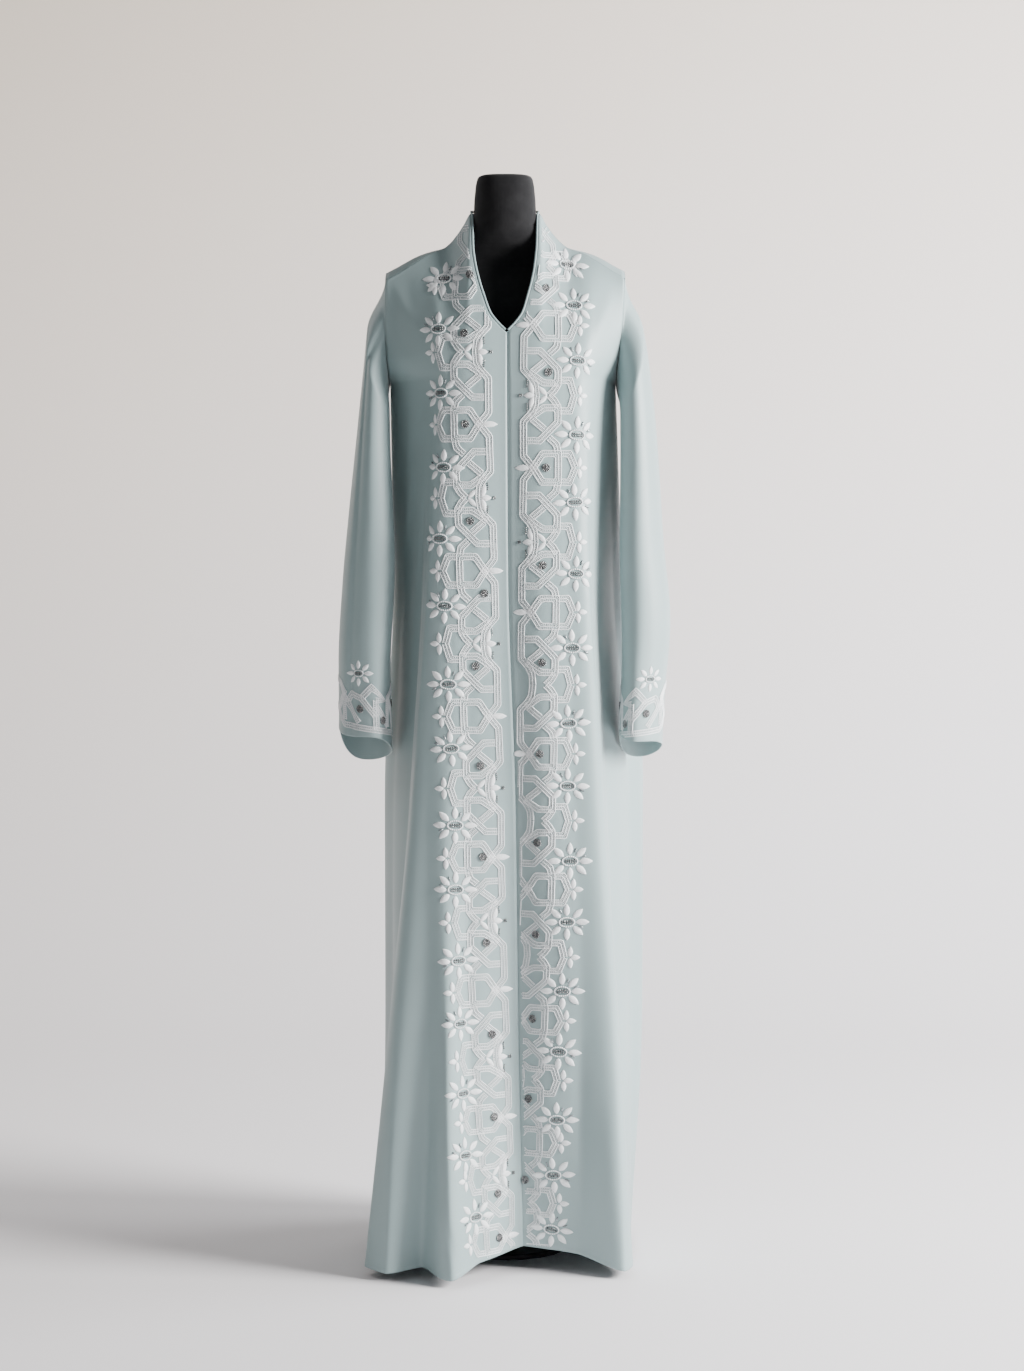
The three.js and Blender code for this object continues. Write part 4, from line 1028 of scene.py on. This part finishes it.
# Places across the chart, the room that a motif needs, and how far from the centre front
# the tip of a leaf or a crown has to lie.
SPRAY_AT, TIP_AT, LEAF_AT, CROWN_AT = 94, 13, 5, 17
SPRAY_ROOM, TIP_ROOM, LEAF_REACH, CROWN_REACH = 17, 6, 12, 22
chance = np.random.default_rng(7)
flower_pieces = {}
for side in ("right", "left"):
    cloth, sign = "front_" + side, SIGN[side]
    outwards = 0 if side == "left" else math.pi
    zs, ss = (np.array(column, float) for column in FLOWERS[side])
    turns = chance.normal(0, 0.05, len(zs))
    sizes = chance.normal(0.99, 0.02, len(zs))
    places = np.stack([sign * ss, zs, turns, sizes], -1)
    flower_pieces[side] = strewn("flowers_" + side, shapes["flower"], cloth, places)
    embroidery.append(strewn("flower_rings_" + side, shapes["heart_ring"], cloth, places))
    sprays, leaves, crowns = [], [], []
    for k, z in enumerate(STOPS[side]):
        a_spray, a_tip = float(placed(side, SPRAY_AT, z)), float(placed(side, TIP_AT, z))
        spray_room, tip_room = front_room(side, np.array([a_spray, a_tip]), np.full(2, float(z)))
        if spray_room > SPRAY_ROOM:
            sprays.append((a_spray, z, outwards, 1))
        is_leaf = (k % 2 == 0) == FIRST_LEAF[side]
        kind, reach, at = (leaves, LEAF_REACH, LEAF_AT) if is_leaf else (crowns, CROWN_REACH, CROWN_AT)
        if tip_room > TIP_ROOM and sign * a_tip > reach:
            kind.append((float(placed(side, at, z)), z, outwards + math.pi, 1))
    embroidery.append(strewn("sprays_" + side, shapes["spray"], cloth, sprays))
    embroidery.append(strewn("leaves_" + side, shapes["leaf"], cloth, leaves))
    embroidery.append(strewn("crowns_" + side, shapes["crown"], cloth, crowns))
    hearts = [(float(placed(side, u, z)), z, 0, 1) for u, z in HEARTS[side]]
    beads = [strewn("bead_hearts_" + side, shapes["cluster"], cloth, hearts),
             strewn("flower_beads_" + side, shapes["heart_beads"], cloth, places),
             strewn("crown_beads_" + side, shapes["crown_beads"], cloth, crowns)]
    gems = []
    for k, (a, z, turn, size) in enumerate(places):
        for spoke in (0.5, 1.5) if k % 2 else (2.5, -0.5):
            t = 2 * math.pi * spoke / 8 if side == "left" else math.pi - 2 * math.pi * spoke / 8
            gems.append((a + 22 * math.cos(t), z + 17 * math.sin(t), t, 1))
    beads.append(strewn("gems_" + side, shapes["gem"], cloth, gems))
    flower_pieces["beads_" + side] = beads
    print(side, "flowers", len(places), "sprays", len(sprays), "leaves", len(leaves), "crowns", len(crowns))

# %% [markdown]
# ## Cuffs
# The same straps make a border round each cuff, with three medallions and one flower on
# the side that faces forward.

# %% Cuff embroidery
# Each strap by its distance towards the wearer's outer side from the sleeve's front and
# its height above the cuff's edge.
CUFF_STRAPS = [
    [(-92, 15), (-40, 15), (34, 15), (44, 22), (52, 34), (92, 34)],
    [(34, 22), (36, 62)],
    [(-20, 15), (-20, 34), (2, 58), (20, 62), (28, 48), (6, 22)],
    [(-20, 58), (-20, 34)],
    [(2, 58), (-14, 76), (-34, 60), (-20, 58)],
    [(28, 48), (46, 74), (70, 76)],
    [(-44, 22), (-20, 50)],
    [(-44, 22), (-44, 64), (-66, 84), (-84, 66)],
    [(52, 34), (34, 62), (46, 74)],
    [(-66, 15), (-66, 40), (-44, 64)],
]
CUFF_HEARTS = [(4, 42), (-32, 30), (-64, 58)]
CUFF_EDGE, CUFF_SLOPE = {"right": 776, "left": 770}, {"right": 0.14, "left": -0.1}
CUFF_STRAP = 0.8  # the cuffs' straps are narrower than the fronts'


def cuff_place(side, a, height):
    return CUFF_EDGE[side] + height - CUFF_SLOPE[side] * a


def cuff_lines(side, gap, step):
    found = []
    for line in CUFF_STRAPS:
        flat = spread(beside(line, gap), step) * [SIGN[side], 1]
        flat[:, 1] = cuff_place(side, flat[:, 0], flat[:, 1])
        found += clipped(flat, cuff_room(side, flat[:, 0], flat[:, 1]))
    return found


for side in ("right", "left"):
    cloth, table = "cuff_" + side, maps["cuff_" + side]
    half = CUFF_STRAP * STRAP_HALF
    lines = [flat for gap in (-half, 0, half) for flat in cuff_lines(side, gap, CORD_STEP)]
    cords = [laid_line(cloth, flat, CORD_LIFT) for flat in lines]
    embroidery.append(tube("cuff_cords_" + side, cords, CORD_RADIUS, 0))
    places = stitch_places([f for gap in (-half, half) for f in cuff_lines(side, gap / 2, STITCH_STEP)])
    embroidery.append(strewn("cuff_stitches_" + side, stitch, cloth, places))
    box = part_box("flower_cuff_" + side)
    near = np.linalg.norm(table.points - np.array((box[0] + box[1]) / 2 / MM), axis=-1)
    j, i = np.unravel_index(near.argmin(), near.shape)
    spot = [(table.a[i], table.z[j], 0, 0.7)]
    flower_pieces["cuff_" + side] = strewn("cuff_flower_" + side, shapes["flower"], cloth, spot)
    embroidery.append(strewn("cuff_ring_" + side, shapes["heart_ring"], cloth, spot))
    hearts = [(SIGN[side] * a, cuff_place(side, SIGN[side] * a, b), 0, 0.95) for a, b in CUFF_HEARTS]
    flower_pieces["cuff_beads_" + side] = [
        strewn("cuff_hearts_" + side, shapes["cluster"], cloth, hearts),
        strewn("cuff_flower_beads_" + side, shapes["heart_beads"], cloth, spot)]
    spot_at = round(float(table.a[i])), round(float(table.z[j]))
    print("cuff", side, "stitches", len(places), "flower at", *spot_at)

# %% [markdown]
# ## The dress form
# A dress form is a padded torso under black jersey, cut off flat at the neck and below
# the hips. Rings of a soft square section are joined up its height.

# %% Dress form
FORM = [
    (866, 128, -66, 68, 2.3), (872, 140, -78, 80, 2.3), (900, 147, -86, 88, 2.3),
    (960, 146, -88, 90, 2.3), (1080, 118, -80, 78, 2.3), (1200, 130, -94, 90, 2.3),
    (1290, 143, -103, 98, 2.3), (1350, 146, -90, 86, 2.1), (1400, 150, -66, 64, 1.9),
    (1430, 156, -44, 44, 1.7), (1450, 159, -29, 31, 1.6), (1462, 152, -22, 25, 1.6),
    (1474, 131, -20, 26, 1.6), (1484, 99, -25, 32, 1.7), (1494, 77, -34, 38, 1.8),
    (1506, 59, -38, 40, 1.9), (1522, 46.5, -39, 41, 2), (1560, 45, -41, 42, 2.05),
    (1580, 43, -41, 42, 2.5), (1589, 41, -40, 40, 2.6), (1592.5, 39, -38, 38, 2.6),
    (1594, 36, -34, 34, 2.6),
]
form_table = np.array(FORM, float)
form_z = np.unique(np.concatenate([np.linspace(866, 1586, 70), form_table[:, 0]]))
half, ahead, behind, power = (np.interp(form_z, form_table[:, 0], form_table[:, k]) for k in range(1, 5))
angle = np.linspace(0, 2 * math.pi, 65)
share = lambda v: np.sign(v) * np.abs(v) ** (2 / power[:, None])
depth = np.where(np.sin(angle)[None, :] > 0, behind[:, None], -ahead[:, None])
shift = NECK_SHIFT * np.clip((form_z - 1440) / 80, 0, 1)
form_rows = np.stack([
    shift[:, None] + half[:, None] * share(np.cos(angle)[None, :]),
    depth * share(np.sin(angle)[None, :]),
    np.broadcast_to(form_z[:, None], depth.shape)], -1)
bm, _ = laid_grid(form_rows)
bmesh.ops.remove_doubles(bm, verts=bm.verts, dist=1e-6)
bmesh.ops.holes_fill(bm, edges=[e for e in bm.edges if e.is_boundary], sides=0)
bmesh.ops.recalc_face_normals(bm, faces=bm.faces)
form = finish_mesh(bm, "torso")
print("form faces", len(form.data.polygons))

# %% [markdown]
# ## Finishes
# Satin crepe is a fine pebbled weave with a soft lustre. The bump is only a few hundredths
# of a millimetre, laid by the thread map. A little sheen lights the edges of the folds.

# %% Materials
def material(name, colour, roughness, metallic=0.0, **sockets):
    made = bpy.data.materials.new(name)
    made.use_nodes = True
    shader = made.node_tree.nodes["Principled BSDF"]
    shader.inputs["Base Color"].default_value = (*colour, 1)
    shader.inputs["Roughness"].default_value = roughness
    shader.inputs["Metallic"].default_value = metallic
    for socket, value in sockets.items():
        shader.inputs[socket.replace("_", " ")].default_value = value
    return made, made.node_tree, shader


def node(tree, kind, **settings):
    made = tree.nodes.new(kind)
    for key, value in settings.items():
        if hasattr(made, key):
            setattr(made, key, value)
        else:
            made.inputs[key.replace("_", " ")].default_value = value
    return made


def varied_colour(tree, shader, source, scale, dark, light):
    """Slow changes of colour over the piece."""
    noise = node(tree, "ShaderNodeTexNoise", Scale=scale, Detail=3.0)
    ramp = node(tree, "ShaderNodeValToRGB")
    ramp.color_ramp.elements[0].color, ramp.color_ramp.elements[1].color = (*dark, 1), (*light, 1)
    ramp.color_ramp.elements[0].position, ramp.color_ramp.elements[1].position = 0.35, 0.65
    tree.links.new(source, noise.inputs["Vector"])
    tree.links.new(noise.outputs["Fac"], ramp.inputs["Fac"])
    tree.links.new(ramp.outputs["Color"], shader.inputs["Base Color"])


def bump(tree, shader, height, strength, distance):
    bumped = node(tree, "ShaderNodeBump", Strength=strength, Distance=distance)
    tree.links.new(height, bumped.inputs["Height"])
    tree.links.new(bumped.outputs["Normal"], shader.inputs["Normal"])


def satin_crepe(name, dark, light):
    made, tree, shader = material(name, light, 0.46, Sheen_Weight=0.25, Sheen_Roughness=0.4,
                                  Specular_IOR_Level=0.45)
    place = node(tree, "ShaderNodeTexCoord")
    varied_colour(tree, shader, place.outputs["Object"], 3.5, dark, light)
    warp = node(tree, "ShaderNodeTexWave", Scale=520.0, Distortion=1.5, Detail=1.0)
    weft = node(tree, "ShaderNodeTexWave", bands_direction="Y", Scale=420.0, Distortion=1.5, Detail=1.0)
    pebble = node(tree, "ShaderNodeTexNoise", Scale=900.0, Detail=2.0)
    both = node(tree, "ShaderNodeMath", operation="ADD")
    total = node(tree, "ShaderNodeMath", operation="ADD")
    for texture in (warp, weft, pebble):
        tree.links.new(place.outputs["UV"], texture.inputs["Vector"])
    tree.links.new(warp.outputs["Fac"], both.inputs[0])
    tree.links.new(weft.outputs["Fac"], both.inputs[1])
    tree.links.new(both.outputs[0], total.inputs[0])
    tree.links.new(pebble.outputs["Fac"], total.inputs[1])
    bump(tree, shader, total.outputs[0], 0.25, 0.00006)
    return made


satin = satin_crepe("satin_crepe", (0.29, 0.385, 0.392), (0.31, 0.41, 0.416))


def mottled(name, colour, roughness, metallic, scale, dark, light, **sockets):
    """A finish whose colour changes slowly over the piece."""
    made, tree, shader = material(name, colour, roughness, metallic, **sockets)
    place = node(tree, "ShaderNodeTexCoord").outputs["Object"]
    varied_colour(tree, shader, place, scale, dark, light)
    return made, place


def textured(made, place, kind, strength, distance, **settings):
    """A fine weave or grain on a finish."""
    tree = made.node_tree
    texture = node(tree, kind, **settings)
    tree.links.new(place, texture.inputs["Vector"])
    bump(tree, tree.nodes["Principled BSDF"], texture.outputs["Fac"], strength, distance)
    return made


def silk_thread():
    finish, place = mottled("silk_thread", (0.86, 0.89, 0.9), 0.38, 0, 220.0,
                            (0.8, 0.835, 0.85), (0.92, 0.94, 0.95), Sheen_Weight=0.2)
    return textured(finish, place, "ShaderNodeTexWave", 0.5, 0.00012,
                    bands_direction="DIAGONAL", Scale=420.0, Distortion=0.6)


def pewter_bead():
    finish, _ = mottled("pewter_bead", (0.2, 0.2, 0.2), 0.28, 0.85, 380.0,
                        (0.08, 0.08, 0.085), (0.4, 0.4, 0.4))
    return finish


def cut_stone():
    finish, _ = mottled("cut_stone", (0.2, 0.22, 0.23), 0.08, 0.35, 160.0,
                        (0.12, 0.13, 0.14), (0.45, 0.5, 0.52), Coat_Weight=0.6)
    return finish


def black_jersey():
    finish, place = mottled("black_jersey", (0.006, 0.006, 0.007), 0.9, 0, 60.0,
                            (0.004, 0.004, 0.005), (0.008, 0.008, 0.009),
                            Sheen_Weight=0.12, Specular_IOR_Level=0.2)
    return textured(finish, place, "ShaderNodeTexWave", 0.2, 0.0002,
                    Scale=160.0, Distortion=2.0, Detail=1.0)


def black_steel():
    finish, place = mottled("black_steel", (0.02, 0.02, 0.022), 0.45, 0.6, 40.0,
                            (0.015, 0.015, 0.017), (0.03, 0.03, 0.033))
    return textured(finish, place, "ShaderNodeTexNoise", 0.3, 0.0001, Scale=900.0, Detail=2.0)


silk, pewter, stone, jersey, steel = silk_thread(), pewter_bead(), cut_stone(), black_jersey(), black_steel()
print("materials:", [m.name for m in (satin, silk, pewter, stone, jersey, steel)])

# %% Put the finishes on
dressed = []


def dress(piece, finish):
    piece.data.materials.clear()
    piece.data.materials.append(finish)
    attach(piece, "root")
    dressed.append(piece.name)


panels = {"front_right": front_right, "front_left": front_left, "back": back_panel,
          "sleeve_right": sleeve_right, "sleeve_left": sleeve_left}
for name, piece in panels.items():
    dress(piece, satin)
    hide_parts(name)
dress(neck_binding, satin)
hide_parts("neck_binding")
for piece in embroidery:
    dress(piece, silk)
for side in ("right", "left"):
    dress(flower_pieces[side], silk)
    count = len(FLOWERS[side][0])
    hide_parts(*[f"flower_{side}_{k + 1:02d}" for k in range(count)])
    dress(flower_pieces["cuff_" + side], silk)
    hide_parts("flower_cuff_" + side)
    for piece in flower_pieces["beads_" + side] + flower_pieces["cuff_beads_" + side]:
        dress(piece, stone if piece.name.startswith("gems") else pewter)
dress(form, jersey)
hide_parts("dress_form")
for name in ("stand_pole", "stand_base"):
    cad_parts[name].data.materials.clear()
    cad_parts[name].data.materials.append(steel)
print("pieces dressed:", len(dressed))

# %% [markdown]
# ## Sheets of cloth
# A panel's area is the mesh's own. The flat sizes are rough
# estimates, not measured, and the sleeves' are the furthest off.

# %% [markdown]
# ## Studio
# A pale floor sweeps up into a pale wall without a corner. One broad soft light stands on
# the wearer's left, and weaker ones fill the other side, the floor and the wall.

# %% Floor and wall
# Metres: the paper's width, its length and where its front edge lies, then the radius of
# its bend and where the bend starts.
STUDIO_WIDE, STUDIO_LONG, STUDIO_FRONT = 12, 9.5, -4.5
BEND, BEND_START = 1.3, 1.6
BEND_RUN = BEND * math.pi / 2
bm = bmesh.new()
bmesh.ops.create_grid(bm, x_segments=8, y_segments=60, size=0.5)
for v in bm.verts:
    run = (v.co.y + 0.5) * STUDIO_LONG + STUDIO_FRONT
    if run < BEND_START:
        y, z = run, 0
    elif run < BEND_START + BEND_RUN:
        a = (run - BEND_START) / BEND
        y, z = BEND_START + BEND * math.sin(a), BEND * (1 - math.cos(a))
    else:
        y, z = BEND_START + BEND, BEND + run - BEND_START - BEND_RUN
    v.co = (v.co.x * STUDIO_WIDE, y, z)
studio = finish_mesh(bm, "studio_sweep")
# Painted shade and warm light: the one paper is painted darker and warmer up the wall and towards its left,
# away from the window; the floor stays neutral.
SHADE_ASIDE, SHADE_TOP = -0.35, 2.8
paper, tree, shader = material("studio_paper", (0.8, 0.785, 0.78), 0.95, Specular_IOR_Level=0.1)
place = node(tree, "ShaderNodeTexCoord")
split = node(tree, "ShaderNodeSeparateXYZ")
rise = node(tree, "ShaderNodeMath", operation="MULTIPLY_ADD")
climb = node(tree, "ShaderNodeMapRange", From_Max=SHADE_TOP)
# painted shade and warm light on the wall, growing up and to the left
wall_shade_ramp = node(tree, "ShaderNodeValToRGB")
wall_shade_ramp.color_ramp.elements[0].color = (0.81, 0.795, 0.815, 1)
wall_shade_ramp.color_ramp.elements[1].color = (0.79, 0.7, 0.6, 1)
rise.inputs[1].default_value = SHADE_ASIDE
tree.links.new(place.outputs["Object"], split.inputs[0])
tree.links.new(split.outputs["X"], rise.inputs[0])
tree.links.new(split.outputs["Z"], rise.inputs[2])
tree.links.new(rise.outputs[0], climb.inputs["Value"])
tree.links.new(climb.outputs[0], wall_shade_ramp.inputs["Fac"])
tree.links.new(wall_shade_ramp.outputs["Color"], shader.inputs["Base Color"])
studio.data.materials.append(paper)


# %% Lights
def area_light(name, place, target, size, watts, colour):
    data = bpy.data.lights.new(name, "AREA")
    data.shape, data.size, data.energy, data.color = "DISK", size, watts, colour
    lamp = on_scene(name, data)
    lamp.location = place
    lamp.rotation_euler = (Vector(target) - Vector(place)).to_track_quat("-Z", "Y").to_euler()


area_light("window", (3.1, -1.05, 1.9), (0, 0, 0.9), 1.5, 440, (1.0, 0.985, 0.97))
area_light("floor_light", (-2.2, 0.9, 2.6), (-1.2, 0.6, 0), 1.6, 22, (1.0, 0.98, 0.96))
area_light("fill", (-3.0, -3.4, 1.8), (0, 0, 0.9), 3.0, 8, (1.0, 0.97, 0.93))
area_light("wall_light", (2.6, 0.6, 2.6), (1.3, 2.9, 1.2), 2.0, 120, (0.98, 0.98, 1.0))
world = bpy.data.worlds.new("studio_air")
world.use_nodes = True
world.node_tree.nodes["Background"].inputs["Color"].default_value = (0.86, 0.88, 0.92, 1)
world.node_tree.nodes["Background"].inputs["Strength"].default_value = 0.21
bpy.context.scene.world = world
